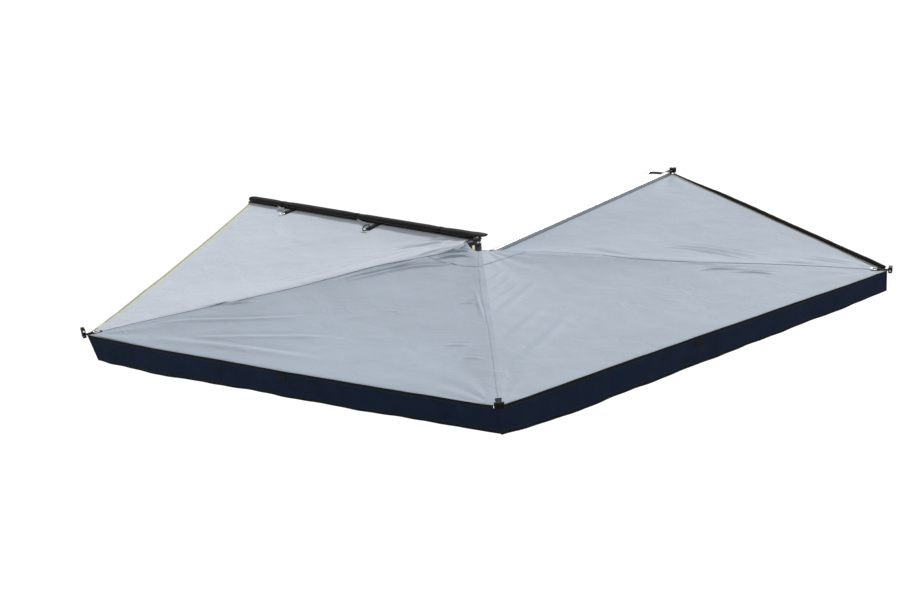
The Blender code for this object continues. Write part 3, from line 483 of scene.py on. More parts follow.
def plated(name, colour, roughness, second, cloud=60.0, metallic=1.0):
    """Plated or cast metal with a cloudy finish of two close colours."""
    made = Finish(name, colour, roughness, metallic)
    flat = made.place("Object")
    cloudy = made.noise(flat, cloud, 4.0, 0.6, 0.4)
    made.colour(made.spread(cloudy, 0.35, 0.68), colour, second)
    made.rough(cloudy, max(roughness - 0.07, 0.05), roughness + 0.14)
    made.bump(made.noise(flat, 700.0, 2.0), 0.00006, 0.5)
    return made.material


def edge_tape(name, sides, middle, start=0.40, end=0.60):
    """Binding tape in one colour with a line of another along it, from start to end of its width."""
    made = Finish(name, sides, 0.7, sheen_weight=0.2)
    uv = made.node("ShaderNodeTexCoord").outputs["UV"]
    across = made.node("ShaderNodeSeparateXYZ")
    made.link(uv, across.inputs[0])
    low = made.spread(across.outputs["X"], start - 0.03, start)
    high = made.spread(across.outputs["X"], end, end + 0.03, 1.0, 0.0)
    made.colour(made.product(low, high), sides, middle)
    rib = made.wave(made.place("UV"), 480.0, "Y")
    made.rough(rib, 0.6, 0.8)
    made.bump(rib, 0.0004, 0.6)
    return made.material


# The front panel's colour is the canopy's silver painted lighter: painted light and sheen on the same cloth as
# the other panels.
PAINTED_LIGHT_SILVER = (0.597, 0.644, 0.716)
SILVER = (0.434, 0.491, 0.565)
NAVY = (0.0100, 0.0185, 0.0430)
BLACK = (0.010, 0.010, 0.011)
ALUMINIUM = (0.58, 0.59, 0.61)

# The front panel's cloth carries that painted light in its colour.
front_cloth = coated_cloth("canopy_cloth_light", PAINTED_LIGHT_SILVER)
canopy_cloth = coated_cloth("canopy_cloth", SILVER)
# Painted shade: the seam cloth is the canopy's silver painted darker, standing in for the thin shadow beside
# the raised seams.
seam_cloth = plain_cloth("seam_cloth", shade(SILVER, 0.82), 1.08, 0.92)
valance_cloth = plain_cloth("valance_cloth", NAVY, gloss=0.08)
binding_cloth = ribbed_webbing("binding_black", shade(BLACK, 0.8))
cover_vinyl = plain_cloth("cover_vinyl", (0.0045, 0.0045, 0.0055), 1.5, 0.7, 420.0)
piping_vinyl = ribbed_webbing("piping_tan", (0.085, 0.075, 0.050))
black_webbing = ribbed_webbing("webbing_black", BLACK)
grey_webbing = ribbed_webbing("webbing_grey", (0.42, 0.43, 0.46))
cream_tape = edge_tape("edge_tape_cream", (0.74, 0.72, 0.50), (0.05, 0.05, 0.04))
# Painted shade: the tape and rolled hem beside the fourth arm are the edge tape painted near-black with a tan
# line, as that edge looks in shade.
shaded_edge_tape = edge_tape("edge_tape_painted_shade", (0.018, 0.017, 0.010), (0.46, 0.42, 0.28), 0.84, 0.95)
shaded_roll_cloth = plain_cloth("edge_roll_painted_shade", (0.016, 0.015, 0.010), gloss=0.1)
stitch_thread = plain_cloth("stitch_thread", (0.36, 0.39, 0.43), 1.1, 0.9, 3000.0)
dark_thread = plain_cloth("dark_thread", (0.075, 0.080, 0.090), 1.2, 0.8, 3000.0)
nylon_grey = moulded("nylon_grey", (0.46, 0.48, 0.50), 0.45)
chrome = plated("bright_steel", (0.86, 0.86, 0.87), 0.14, (0.74, 0.75, 0.77), 90.0)
dark_steel = plated("dark_steel", (0.20, 0.205, 0.215), 0.3, (0.13, 0.134, 0.142), 80.0)
zinc = plated("yellow_zinc", (0.80, 0.66, 0.30), 0.3, (0.66, 0.62, 0.42), 40.0)
cast_grey = plated("cast_grey", (0.050, 0.053, 0.060), 0.42, (0.026, 0.028, 0.033), 140.0, 0.3)
bracket_black = moulded("bracket_black", (0.0070, 0.0075, 0.0090), 0.5, 500.0, 0.0002, gloss=0.08)
nylon_black = moulded("nylon_black", (0.0065, 0.0070, 0.0090), 0.50, gloss=0.07)
rubber_black = moulded("rubber_black", (0.020, 0.019, 0.018), 0.75, 400.0, 0.0003)


# Canopy surface

def arm_top(arm, reach, up=None):
    """Points above an arm's centre line, by default where the middle of the cloth lies."""
    reach = np.asarray(reach, float)
    up = CHANNEL_HEIGHT / 2 + GAP + CLOTH_THICKNESS / 2 if up is None else up
    heading = np.array(HEADINGS[arm])
    plan = reach * math.cos(SLOPE) + up * math.sin(SLOPE)
    points = np.array(HUB) * np.array([1, 1, 0]) + plan[..., None] * heading
    points[..., 2] = LEVELS[arm] - reach * math.sin(SLOPE) + up * math.cos(SLOPE)
    return points


def rail_line(reach):
    """Points along the rail's top groove, where the front panel is held."""
    share = (np.asarray(reach, float) - CLOTH_CUT) / (ARM_LENGTH - CLOTH_CUT)
    points = np.zeros(share.shape + (3,))
    points[..., 0] = RAIL_FACE - GAP
    points[..., 1] = HUB.y + RAIL_EDGE_START + (RAIL_EDGE_END - RAIL_EDGE_START) * share
    points[..., 2] = GROOVE_LEVEL
    return points


def side_line(reach):
    """Points beside the fourth arm, where the last panel is laced to it."""
    reach = np.asarray(reach, float)
    heading = np.array(HEADINGS[3])
    aside = np.array([heading[1], -heading[0], 0]) * (CHANNEL_WIDTH / 2 + GAP)
    points = np.array(HUB) * np.array([1, 1, 0]) + (reach * math.cos(SLOPE))[..., None] * heading + aside
    points[..., 2] = LEVELS[3] - SIDE_DROP - reach * math.sin(SLOPE)
    return points


EDGES = [rail_line] + [lambda reach, arm=arm: arm_top(arm, reach) for arm in (0, 1, 2)] + [side_line]
SPREADS = [math.radians(b - a) for a, b in zip([0] + ANGLES, ANGLES)]


def rest_width(span, reach):
    return np.minimum(CLOTH_REST / math.cos(SPREADS[span] / 2), 0.3 * reach * SPREADS[span])


def smooth_step(value, low, high):
    share = np.clip((value - low) / (high - low), 0, 1)
    return share * share * (3 - 2 * share)


# Folds seen in the photograph: span, height and width in mm, then (reach, share) along each
FOLDS = [
    (1, 7, 11, ((0.40, 0.07), (0.33, 0.05), (0.25, 0.03), (0.17, 0.02))),
    (1, 9, 10, ((0.363, 0.284), (0.29, 0.40), (0.245, 0.60), (0.224, 0.85))),
    (1, 10, 11, ((0.300, 0.155), (0.220, 0.230), (0.175, 0.45), (0.161, 0.72))),
    (1, 7, 15, ((0.90, 0.085), (0.746, 0.111), (0.618, 0.138), (0.500, 0.150), (0.420, 0.153))),
    (1, 6, 13, ((0.90, 0.130), (0.778, 0.157), (0.653, 0.185), (0.504, 0.277), (0.393, 0.535), (0.36, 0.70))),
    (1, 8, 15, ((1.62, -0.01), (1.57, 0.005), (1.529, 0.019), (1.471, 0.050), (1.42, 0.075))),
    (1, 4, 20, ((1.90, 0.05), (1.812, 0.086), (1.70, 0.166), (1.494, 0.312))),
    (1, 4, 24, ((2.02, 0.20), (1.88, 0.30), (1.76, 0.42), (1.70, 0.52))),
    (1, 4, 30, ((2.10, 0.15), (2.02, 0.36), (2.00, 0.56))),
    (1, 4, 12, ((0.80, 0.935), (0.88, 0.955), (0.95, 0.955), (1.04, 0.968), (1.20, 0.982))),
    (1, 4, 11, ((1.00, 0.86), (0.985, 0.90), (0.98, 0.95))),
    (1, 4, 13, ((1.60, 0.86), (1.58, 0.90), (1.57, 0.93))),
    (1, 4, 10, ((1.73, 0.92), (1.724, 0.936), (1.717, 0.978))),
    (2, 2.5, 13, ((0.69, 0.006), (0.66, 0.06), (0.581, 0.16), (0.522, 0.242))),
    (2, 2.2, 13, ((0.86, 0.004), (0.79, 0.09), (0.713, 0.177), (0.65, 0.25))),
    (2, 2, 14, ((1.02, 0.01), (0.94, 0.08), (0.86, 0.17), (0.78, 0.26))),
    (2, 3.5, 24, ((1.25, 0.02), (1.176, 0.044), (1.029, 0.141), (0.864, 0.303), (0.79, 0.40))),
    (2, 4, 26, ((1.78, 0.085), (1.742, 0.105), (1.649, 0.164), (1.509, 0.243), (1.42, 0.32))),
    (2, 3, 24, ((1.52, 0.05), (1.38, 0.14), (1.22, 0.25))),
    (2, 5, 13, ((1.38, 0.90), (1.417, 0.923), (1.523, 0.939), (1.56, 0.95))),
    (2, 5, 13, ((1.56, 0.91), (1.618, 0.919), (1.70, 0.920), (1.762, 0.918))),
    (2, 4, 12, ((1.23, 0.965), (1.29, 0.972), (1.404, 0.975))),
    (3, 5, 15, ((1.25, 0.29), (1.37, 0.235), (1.426, 0.181), (1.502, 0.130), (1.563, 0.072))),
    (3, 4, 16, ((1.36, 0.31), (1.47, 0.25), (1.56, 0.18), (1.66, 0.11))),
    (3, 4, 14, ((1.70, 0.050), (1.776, 0.040), (1.874, 0.033), (1.948, 0.018))),
    (3, 4, 13, ((1.90, 0.10), (2.00, 0.065), (2.10, 0.03))),
    (3, 5, 14, ((0.74, 0.40), (0.828, 0.316), (0.894, 0.159), (0.947, 0.010))),
    (0, 5, 14, ((0.44, 0.24), (0.383, 0.218), (0.30, 0.15), (0.233, 0.106), (0.19, 0.10))),
    (0, 6, 15, ((0.62, 0.48), (0.538, 0.466), (0.397, 0.412), (0.28, 0.30), (0.188, 0.185))),
    (0, 6, 15, ((0.66, 0.93), (0.56, 0.90), (0.472, 0.875), (0.338, 0.617), (0.24, 0.42))),
    (0, 4, 22, ((0.95, 0.80), (0.80, 0.74), (0.62, 0.66), (0.45, 0.52))),
    (0, 3, 26, ((1.30, 0.90), (1.10, 0.86), (0.92, 0.83))),
]

FOLD_STRENGTH = 1.5

# Tension lines that fan out from where the cloth is held: arm, reach, waves, height in mm and length
PULLS = [
    (0, 2.2, 15, 5.0, 0.55),
    (1, 2.2, 17, 4.0, 0.45),
    (2, 2.2, 15, 4.5, 0.50),
    (3, 2.2, 13, 5.0, 0.50),
    (0, 0.0, 17, 5.0, 0.45),
]

# How far each panel's outer edge is cut in between its corners, in metres
EDGE_BOWS = (0.013, -0.010, 0.020, -0.018)


def flat_cloth(span, reach, share):
    """Points on the sagging cloth between two arms, without its folds."""
    reach, share = np.broadcast_arrays(np.asarray(reach, float), np.asarray(share, float))
    reach = reach - EDGE_BOWS[span] * 4 * share * (1 - share) * (reach / ARM_LENGTH) ** 3
    first, second = EDGES[span](reach), EDGES[span + 1](reach)
    width = np.linalg.norm(second - first, axis=-1)
    begin = rest_width(span, reach) / width if span > 0 else np.zeros_like(width)
    end = 1 - rest_width(span, reach) / width if span < 3 else np.ones_like(width)
    run = (reach - CLOTH_CUT) / (ARM_LENGTH - CLOTH_CUT)
    sag = CLOTH_SAG * np.sin(math.pi * np.clip(run, 0, 1) ** 0.8) + 0.2 * CLOTH_SAG * run
    drop = np.clip((share - begin) / (end - begin), 0, 1)
    points = first + (second - first) * share[..., None]
    points[..., 2] = first[..., 2] + (second[..., 2] - first[..., 2]) * drop - 4 * sag * drop * (1 - drop)
    free = smooth_step(drop * width, 0, 0.07) * smooth_step((1 - drop) * width, 0, 0.07)
    return points, free


def distance_to(points, path):
    """Distance in plan from points to a path, and which side of it they are on."""
    best = np.full(points.shape[:-1], 9.0)
    side = np.zeros_like(best)
    along = np.zeros_like(best)
    lengths = [float(np.linalg.norm(b - a)) for a, b in zip(path, path[1:])]
    done = 0.0
    for (a, b), length in zip(zip(path, path[1:]), lengths):
        run = (b - a) / length
        offset = points - a
        t = np.clip(offset @ run, 0, length)
        gap = offset - t[..., None] * run
        far = np.linalg.norm(gap, axis=-1)
        nearer = far < best
        best = np.where(nearer, far, best)
        turn = run[0] * gap[..., 1] - run[1] * gap[..., 0]
        side = np.where(nearer, np.sign(turn), side)
        along = np.where(nearer, (done + t) / sum(lengths), along)
        done += length
    return best, side, along


def fold_paths():
    made = []
    for span, height, width, stops in FOLDS:
        reach = [stop[0] for stop in stops]
        share = [stop[1] for stop in stops]
        fine = np.linspace(0, 1, 12)
        steps = np.linspace(0, 1, len(stops))
        points, _ = flat_cloth(span, np.interp(fine, steps, reach), np.interp(fine, steps, share))
        made.append((FOLD_STRENGTH * height / 1000, width / 1000, points[:, :2]))
    return made


FOLD_PATHS = fold_paths()


def folds_at(plan):
    """Height of all folds at points seen from above."""
    total = np.zeros(plan.shape[:-1])
    for height, width, path in FOLD_PATHS:
        far, side, along = distance_to(plan, path)
        fade = np.sin(math.pi * np.clip(along, 0.02, 0.98)) ** 0.6
        signed = far * side
        ridge = np.exp(-(far / width) ** 2)
        hollow = np.exp(-((signed - 1.6 * width) / width) ** 2)
        total += height * fade * (ridge - 0.6 * hollow)
    for arm, reach, waves, height, length in PULLS:
        centre = arm_top(arm, reach)[:2] if reach else np.array(HUB[:2])
        offset = plan - centre
        far = np.linalg.norm(offset, axis=-1)
        angle = np.arctan2(offset[..., 1], offset[..., 0])
        drift = 0.5 * np.sin(3 * angle + arm) + 0.4 * np.sin(7 * far)
        fade = smooth_step(far, 0.03, 0.16) * np.exp(-(far / length) ** 2)
        total += height / 1000 * fade * np.sin(waves * angle + drift * 2) * 0.5
    x, y = plan[..., 0], plan[..., 1]
    total += 0.0012 * np.sin(9.1 * x + 2.3 * y + np.sin(4 * y)) * np.sin(6.3 * y - 3.1 * x)
    total += 0.0006 * np.sin(31 * x + 12 * y + 2 * np.sin(9 * y)) * np.sin(23 * y - 8 * x)
    return total


OVER_ARM = 0.65            # how much of a fold's height stays where it crosses an arm


def cloth(span, reach, share, lift=0.0):
    """Points on the finished canopy, folds included."""
    points, free = flat_cloth(span, reach, share)
    points = points.copy()
    share = np.asarray(share, float)
    kept = OVER_ARM * (1 - smooth_step(np.asarray(reach, float), 1.85, 2.02))
    if span == 0:
        kept = kept * smooth_step(share, 0, 0.25)
    if span == 3:
        kept = kept * (1 - smooth_step(share, 0.75, 1))
    fold = folds_at(points[..., :2])
    points[..., 2] += np.where(fold > 0, np.maximum(free, kept), free) * fold + lift
    return points


# Where the seams run, as (reach, metres beside the arm, towards the next arm's tip)
SEAM_DRIFTS = {
    0: ((0.085, 0.030), (0.25, 0.074), (0.396, 0.061), (0.524, 0.041), (0.673, 0.030), (0.94, 0.045),
        (1.189, 0.057), (1.453, 0.043), (1.706, 0.027), (1.931, 0.008), (2.2, 0.0)),
    1: ((0.085, 0.0), (0.30, -0.010), (0.60, -0.016), (0.90, -0.017), (1.10, -0.012), (1.36, 0.0), (2.2, 0.0)),
    2: ((0.085, 0.020), (0.25, 0.100), (0.40, 0.130), (0.532, 0.115), (0.70, 0.040), (0.843, -0.013),
        (1.089, -0.026), (1.318, -0.024), (1.599, 0.008), (1.887, 0.016), (2.2, 0.0)),
}


def seam_drift(arm, reach):
    """How far a seam runs beside its arm, smoothed between the places measured."""
    stops = SEAM_DRIFTS[arm]
    knots = [stop[0] for stop in stops]
    values = [stop[1] for stop in stops]
    total = np.zeros_like(reach)
    for shift in (-0.06, -0.03, 0, 0.03, 0.06):
        total = total + np.interp(np.clip(reach + shift, knots[0], knots[-1]), knots, values)
    ends = smooth_step(reach, 0.085, 0.12) * (1 - smooth_step(reach, 2.12, 2.2))
    return total / 5 * ends


def width_of(span, reach):
    return np.linalg.norm(EDGES[span + 1](reach) - EDGES[span](reach), axis=-1)


def seam_turn(arm, reach):
    """The seam's place round the canopy: arm 1 is at 1, arm 2 at 2, with shares of the spans between."""
    drift = seam_drift(arm, reach)
    return arm + 1 + np.where(drift > 0, drift / width_of(arm + 1, reach), drift / width_of(arm, reach))


def cloth_round(reach, turn, lift=0.0):
    """Points on the finished canopy from reach and place round it."""
    reach, turn = np.broadcast_arrays(np.asarray(reach, float), np.asarray(turn, float))
    points = np.zeros(reach.shape + (3,))
    spans = np.clip(np.floor(turn), 0, 3).astype(int)
    for span in sorted(set(spans.ravel())):
        chosen = spans == span
        points[chosen] = cloth(int(span), reach[chosen], turn[chosen] - span, lift)
    return points


PANEL_SEAMS = {"front": (None, 0), "left": (0, 1), "rear": (1, 2), "right": (2, None)}
EDGE_CROWDING = 0.5        # how much closer a panel's columns stand along its seams
HUB_OPENING = 0.045        # how much further from the upright bolt the cloth starts at the second arm


def hub_opening(turn):
    """Extra distance from the upright bolt at which the cloth starts, by place round the canopy."""
    turn = np.asarray(turn, float)
    return HUB_OPENING * smooth_step(turn, 1.15, 1.9) * (1 - smooth_step(turn, 2.1, 2.9))


def panel_grid(panel, rows=200, columns=240):
    """A panel's points, from its first seam to its last, row by row outwards."""
    first, last = PANEL_SEAMS[panel]
    even = np.linspace(0, 1, columns)
    crowded = even - EDGE_CROWDING * np.sin(2 * math.pi * even) / (2 * math.pi)
    grid = []
    for reach in CLOTH_CUT + (ARM_LENGTH - CLOTH_CUT) * np.linspace(0, 1, rows) ** 1.15:
        begin = 0.0 if first is None else float(seam_turn(first, reach))
        end = 4.0 if last is None else float(seam_turn(last, reach))
        turns = begin + (end - begin) * crowded
        near_hub = (1 - (reach - CLOTH_CUT) / (ARM_LENGTH - CLOTH_CUT)) ** 12
        grid.append(cloth_round(reach + hub_opening(turns) * near_hub, turns))
    return np.array(grid)


def fold_away(made, panel):
    """The piece rides with a panel's body."""
    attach(made, BODY_OF_PANEL[panel])
    if panel == "front":
        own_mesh(made)
        return made
    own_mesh(made)
    return made


def mesh_area(grid):
    a = grid[1:, 1:] - grid[:-1, :-1]
    b = grid[1:, :-1] - grid[:-1, 1:]
    return float(np.linalg.norm(np.cross(a, b), axis=2).sum() / 2)


panel_pieces = {}
for panel, finish, slot_name in (
    ("front", front_cloth, "canopy_cloth_light"),
    ("left", canopy_cloth, "canopy_cloth"),
    ("rear", canopy_cloth, "canopy_cloth"),
    ("right", canopy_cloth, "canopy_cloth"),
):
    grid = panel_grid(panel)
    made = cloth_sheet(f"canopy_{panel}", grid, CLOTH_THICKNESS)
    dress(made, finish)
    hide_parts(f"canopy_panel_{panel}")
    panel_pieces[panel] = (made, mesh_area(grid))


# Seams, hems and tapes

def lay_band(name, reaches, turns, width, thickness, lift):
    """A strip of cloth that follows a line on the canopy."""
    centre = cloth_round(reaches, turns)
    tangent = np.gradient(centre, axis=0)
    tangent /= np.linalg.norm(tangent, axis=1, keepdims=True)
    side = np.cross(np.array([0, 0, 1.0]), tangent)
    side /= np.linalg.norm(side, axis=1, keepdims=True)
    normal = np.cross(tangent, side)
    offsets = np.linspace(-width / 2, width / 2, 5)
    crown = 1 - (np.abs(offsets) / (width / 2)) ** 3
    upper = centre[:, None] + side[:, None] * offsets[None, :, None] + normal[:, None] * (
        lift + thickness * (0.35 + 0.65 * crown))[None, :, None]
    under = centre[:, None] + side[:, None] * offsets[None, :, None] + normal[:, None] * lift
    uvs = np.zeros(upper.shape[:2] + (2,))
    uvs[..., 0] = (offsets / width + 0.5)[None]
    uvs[..., 1] = np.concatenate([[0], np.cumsum(np.linalg.norm(np.diff(centre, axis=0), axis=1))])[:, None]
    return shell(name, upper, under, uvs, smooth_angle=50), (centre, side, normal)


def stitch_tree():
    """Small bars along a line of points, each turned along its own direction."""
    tree = bpy.data.node_groups.new("stitches", "GeometryNodeTree")
    sockets = tree.interface
    sockets.new_socket("Geometry", in_out="INPUT", socket_type="NodeSocketGeometry")
    sockets.new_socket("Radius", in_out="INPUT", socket_type="NodeSocketFloat")
    sockets.new_socket("Length", in_out="INPUT", socket_type="NodeSocketFloat")
    sockets.new_socket("Spacing", in_out="INPUT", socket_type="NodeSocketFloat")
    sockets.new_socket("Finish", in_out="INPUT", socket_type="NodeSocketMaterial")
    sockets.new_socket("Geometry", in_out="OUTPUT", socket_type="NodeSocketGeometry")
    nodes, links = tree.nodes, tree.links
    start = nodes.new("NodeGroupInput")
    line = nodes.new("GeometryNodeMeshToCurve")
    spread = nodes.new("GeometryNodeCurveToPoints")
    spread.mode = "LENGTH"
    bar = nodes.new("GeometryNodeMeshCylinder")
    bar.inputs["Vertices"].default_value = 6
    put = nodes.new("GeometryNodeInstanceOnPoints")
    turn = nodes.new("FunctionNodeAlignRotationToVector")
    turn.axis = "Z"
    real = nodes.new("GeometryNodeRealizeInstances")
    coat = nodes.new("GeometryNodeSetMaterial")
    end = nodes.new("NodeGroupOutput")
    links.new(start.outputs["Geometry"], line.inputs["Mesh"])
    links.new(line.outputs["Curve"], spread.inputs["Curve"])
    links.new(start.outputs["Spacing"], spread.inputs["Length"])
    links.new(start.outputs["Radius"], bar.inputs["Radius"])
    links.new(start.outputs["Length"], bar.inputs["Depth"])
    links.new(spread.outputs["Points"], put.inputs["Points"])
    links.new(bar.outputs["Mesh"], put.inputs["Instance"])
    links.new(spread.outputs["Tangent"], turn.inputs["Vector"])
    links.new(turn.outputs["Rotation"], put.inputs["Rotation"])
    links.new(put.outputs["Instances"], real.inputs["Geometry"])
    links.new(real.outputs["Geometry"], coat.inputs["Geometry"])
    links.new(start.outputs["Finish"], coat.inputs["Material"])
    links.new(coat.outputs["Geometry"], end.inputs["Geometry"])
    return tree


STITCHES = stitch_tree()


def apply_tree(name, source, tree, values):
    """A plain mesh object from a tree run on a source mesh, with its inputs set by identifier."""
    made = bpy.data.objects.new(name, source)
    bpy.context.scene.collection.objects.link(made)
    modifier = made.modifiers.new("rows", "NODES")
    modifier.node_group = tree
    for item in tree.interface.items_tree:
        if item.in_out == "INPUT" and item.name in values:
            modifier[item.identifier] = values[item.name]
    bpy.context.view_layer.update()
    mesh = bpy.data.meshes.new_from_object(made.evaluated_get(bpy.context.evaluated_depsgraph_get()))
    mesh.name = name
    made.modifiers.remove(modifier)
    made.data = mesh
    return made


def stitch_rows(name, lines, finish, spacing=0.0065, length=0.0042, radius=0.00045):
    """Rows of thread stitches along lines of points."""
    points, edges = [], []
    for line in lines:
        start = len(points)
        points += [tuple(p) for p in line]
        edges += [(start + i, start + i + 1) for i in range(len(line) - 1)]
    mesh = bpy.data.meshes.new(name)
    mesh.from_pydata(points, edges, [])
    values = {"Radius": radius, "Length": length, "Spacing": spacing, "Finish": finish}
    return apply_tree(name, mesh, STITCHES, values)


def line_on_band(frame_of_band, offset, lift):
    centre, side, normal = frame_of_band
    return centre + side * offset + normal * lift


with_panel = {panel: [] for panel in panel_pieces}

for arm, panel in ((0, "left"), (1, "rear"), (2, "right")):
    reaches = np.linspace(CLOTH_CUT + 0.004 + float(hub_opening(arm + 1)), ARM_LENGTH - 0.012, 170)
    wide = SEAM_WIDTHS[arm]
    band, around = lay_band(f"seam_{arm + 1}", reaches, seam_turn(arm, reaches), wide, 0.0011,
                            CLOTH_THICKNESS / 2)
    # The first and third seams take the darker seam cloth, with its painted shade.
    dress(band, canopy_cloth if arm == 1 else seam_cloth)
    rows = [line_on_band(around, offset * wide, CLOTH_THICKNESS / 2 + 0.0011) for offset in (-0.32, 0.32)]
    thread = stitch_rows(f"seam_{arm + 1}_stitches", rows, stitch_thread if arm == 1 else dark_thread)
    for made in (band, thread):
        fold_away(made, panel)
        with_panel[panel].append(made)

PATCH_SEAMS = {
    "left": ((0.375, 1.18), (0.378, 1.36), (0.388, 1.56), (0.398, 1.77), (0.409, 1.965)),
    "rear": ((0.409, 1.985), (0.365, 2.12), (0.298, 2.37), (0.275, 2.68), (0.285, 2.98), (0.32, 3.50)),
}
for panel, stops in PATCH_SEAMS.items():
    fine = np.linspace(0, 1, 50)
    steps = np.linspace(0, 1, len(stops))
    reaches = np.interp(fine, steps, [s[0] for s in stops])
    turns = np.interp(fine, steps, [s[1] for s in stops])
    band, around = lay_band(f"hub_patch_seam_{panel}", reaches, turns, 0.010, 0.0011, CLOTH_THICKNESS / 2)
    dress(band, seam_cloth)
    thread = stitch_rows(f"hub_patch_stitches_{panel}", [line_on_band(around, 0, 0.0017)], dark_thread)
    for made in (band, thread):
        fold_away(made, panel)
        with_panel[panel].append(made)

# Hem bands along the outer edge, just above the valances
for panel, span, ends in (("left", 1, (0.006, 0.994)), ("rear", 2, (0.006, 0.994))):
    shares = np.linspace(*ends, 150)
    reaches = np.full(150, ARM_LENGTH - 0.013)
    band, around = lay_band(f"hem_band_{panel}", reaches, span + shares, 0.016, 0.0006, CLOTH_THICKNESS / 2)
    dress(band, canopy_cloth)
    rows = [line_on_band(around, offset, CLOTH_THICKNESS / 2 + 0.0005) for offset in (-0.0055, 0.0055)]
    thread = stitch_rows(f"hem_stitches_{panel}", rows, stitch_thread)
    for made in (band, thread):
        fold_away(made, panel)
        with_panel[panel].append(made)


def edge_binding(name, edge, inward, width, thickness, finish, panel):
    """A tape folded over an edge: a flat U in section that holds the cloth between its legs."""
    edge = np.asarray(edge, float)
    inward = np.asarray(inward, float)
    tangent = np.gradient(edge, axis=0)
    tangent /= np.linalg.norm(tangent, axis=1, keepdims=True)
    inward = inward - tangent * (inward * tangent).sum(1, keepdims=True)
    inward /= np.linalg.norm(inward, axis=1, keepdims=True)
    normal = np.cross(tangent, inward)
    normal *= np.sign(normal[:, 2:3])
    half = CLOTH_THICKNESS / 2 + 0.0002
    outer = half + thickness
    profile = [(width, outer), (width * 0.5, outer + 0.0002), (0.002, outer), (-0.0012, outer * 0.6),
               (-0.0018, 0),
               (-0.0012, -outer * 0.6), (0.002, -outer), (width * 0.5, -outer - 0.0002), (width, -outer)]
    inside = [(width, half), (width * 0.5, half), (0.002, half), (0.0006, half * 0.6), (0.0003, 0),
              (0.0006, -half * 0.6), (0.002, -half), (width * 0.5, -half), (width, -half)]
    upper = np.stack([edge + inward * a + normal * b for a, b in profile], axis=1)
    under = np.stack([edge + inward * a + normal * b for a, b in inside], axis=1)
    uvs = np.zeros(upper.shape[:2] + (2,))
    places = np.array([1.0, 0.5, 0.08, 0.04, 0.0, 0.04, 0.08, 0.5, 1.0])
    uvs[..., 0] = places[None]
    uvs[..., 1] = np.concatenate([[0], np.cumsum(np.linalg.norm(np.diff(edge, axis=0), axis=1))])[:, None]
    made = shell(name, upper, under, uvs, smooth_angle=50)
    dress(made, finish)
    fold_away(made, panel)
    with_panel[panel].append(made)
    return made


FRONT_TAPE_WIDTH = 0.028
shares = np.linspace(0.004, 0.99, 160)
edge = cloth(0, np.full(160, ARM_LENGTH), shares)
inner = cloth(0, np.full(160, ARM_LENGTH - 0.05), shares)
edge_binding("edge_tape_front", edge, inner - edge, FRONT_TAPE_WIDTH, 0.0011, cream_tape,
             "front")
# The tape and roll along the fourth arm's edge carry painted shade in their dark colours.
shares = np.linspace(0.01, 0.996, 160)
edge = cloth(3, np.full(160, ARM_LENGTH), shares)
inner = cloth(3, np.full(160, ARM_LENGTH - 0.05), shares)
edge_binding("edge_tape_right", edge, inner - edge, TAPE_WIDTH, 0.0013, shaded_edge_tape, "right")
ROLL_THIN = 0.0035
ROLL_THICK = 0.0085
roll_radius = ROLL_THIN + (ROLL_THICK - ROLL_THIN) * smooth_step(1 - shares, 0.02, 0.35)
path = edge + np.outer(roll_radius + 0.0016, (0, 0, 1.0))
roll = tube("edge_roll_right", path, roll_radius[:, None, None], 12)
dress(roll, shaded_roll_cloth)
fold_away(roll, "right")
with_panel["right"].append(roll)


# Valances

def valance_line(arm, shares):
    """The hem between two arms' tips, its outward direction and the cloth's height above the valance."""
    first = arm_top(arm, ARM_LENGTH)
    second = arm_top(arm + 1, ARM_LENGTH)
    along = (second - first) / np.linalg.norm(second - first)
    outward = np.array([along[1], -along[0], 0])
    outward /= np.linalg.norm(outward)
    top = cloth(arm + 1, np.full(len(shares), ARM_LENGTH), shares)
    top[:, 2] -= CLOTH_THICKNESS / 2 + GAP
    return top, along, outward


# Height of each valance along it, as (share, metres)
VALANCE_HEIGHTS = {
    0: ((0, 0.129), (0.18, 0.136), (0.478, 0.123), (0.657, 0.125), (0.91, 0.118), (1, 0.123)),
    1: ((0, 0.123), (0.06, 0.136), (0.145, 0.144), (0.40, 0.134), (0.623, 0.124), (0.80, 0.116), (1, 0.104)),
}
VALANCE_SPREAD = 0.004     # how far the lower edge stands out


def valance_height(arm, shares):
    """Height of a valance at shares along it, smoothed between the places measured."""
    stops = VALANCE_HEIGHTS[arm]
    total = np.zeros_like(shares)
    for shift in (-0.04, -0.02, 0, 0.02, 0.04):
        total = total + np.interp(np.clip(shares + shift, 0, 1), [p[0] for p in stops], [p[1] for p in stops])
    return total / 5


def valance_grid(arm, shares, downs, slant=0.0, stand=0.0):
    """Points on a hanging border with its soft folds; slant draws in the first lower corner."""
    top, along, outward = valance_line(arm, shares)
    width = width_of(arm + 1, ARM_LENGTH)
    height = valance_height(arm, shares)
    held = smooth_step(shares, 0, 0.05) * smooth_step(1 - shares, 0, 0.05)
    grid = np.zeros((len(downs), len(shares), 3))
    for i, down in enumerate(downs):
        wave = 0.0030 * down * np.sin(2 * math.pi * 6 * shares + arm)
        wave += 0.0012 * down * np.sin(2 * math.pi * 17 * shares + 1.7 * arm + 2 * down)
        wave = wave * held + VALANCE_SPREAD * down ** 2 * held
        pull = np.clip(1 - shares * width / 0.35, 0, 1) ** 1.5 * slant * down
        grid[i] = top + outward * (wave - CLOTH_THICKNESS + stand)[:, None] + along * pull[:, None]
        grid[i, :, 2] = top[:, 2] - height * down
    return grid, outward


def border_strip(name, arm, slant, part_shares, part_downs, finish=binding_cloth):
    """Binding on both faces of a valance over one stretch of it."""
    piece_grid, outward = valance_grid(arm, part_shares, part_downs, slant)
    out = np.array(outward) * (CLOTH_THICKNESS / 2 + 0.0009)
    strip = shell(name, piece_grid + out, piece_grid - out, spans_of(piece_grid), smooth_angle=50)
    return dress(strip, finish)


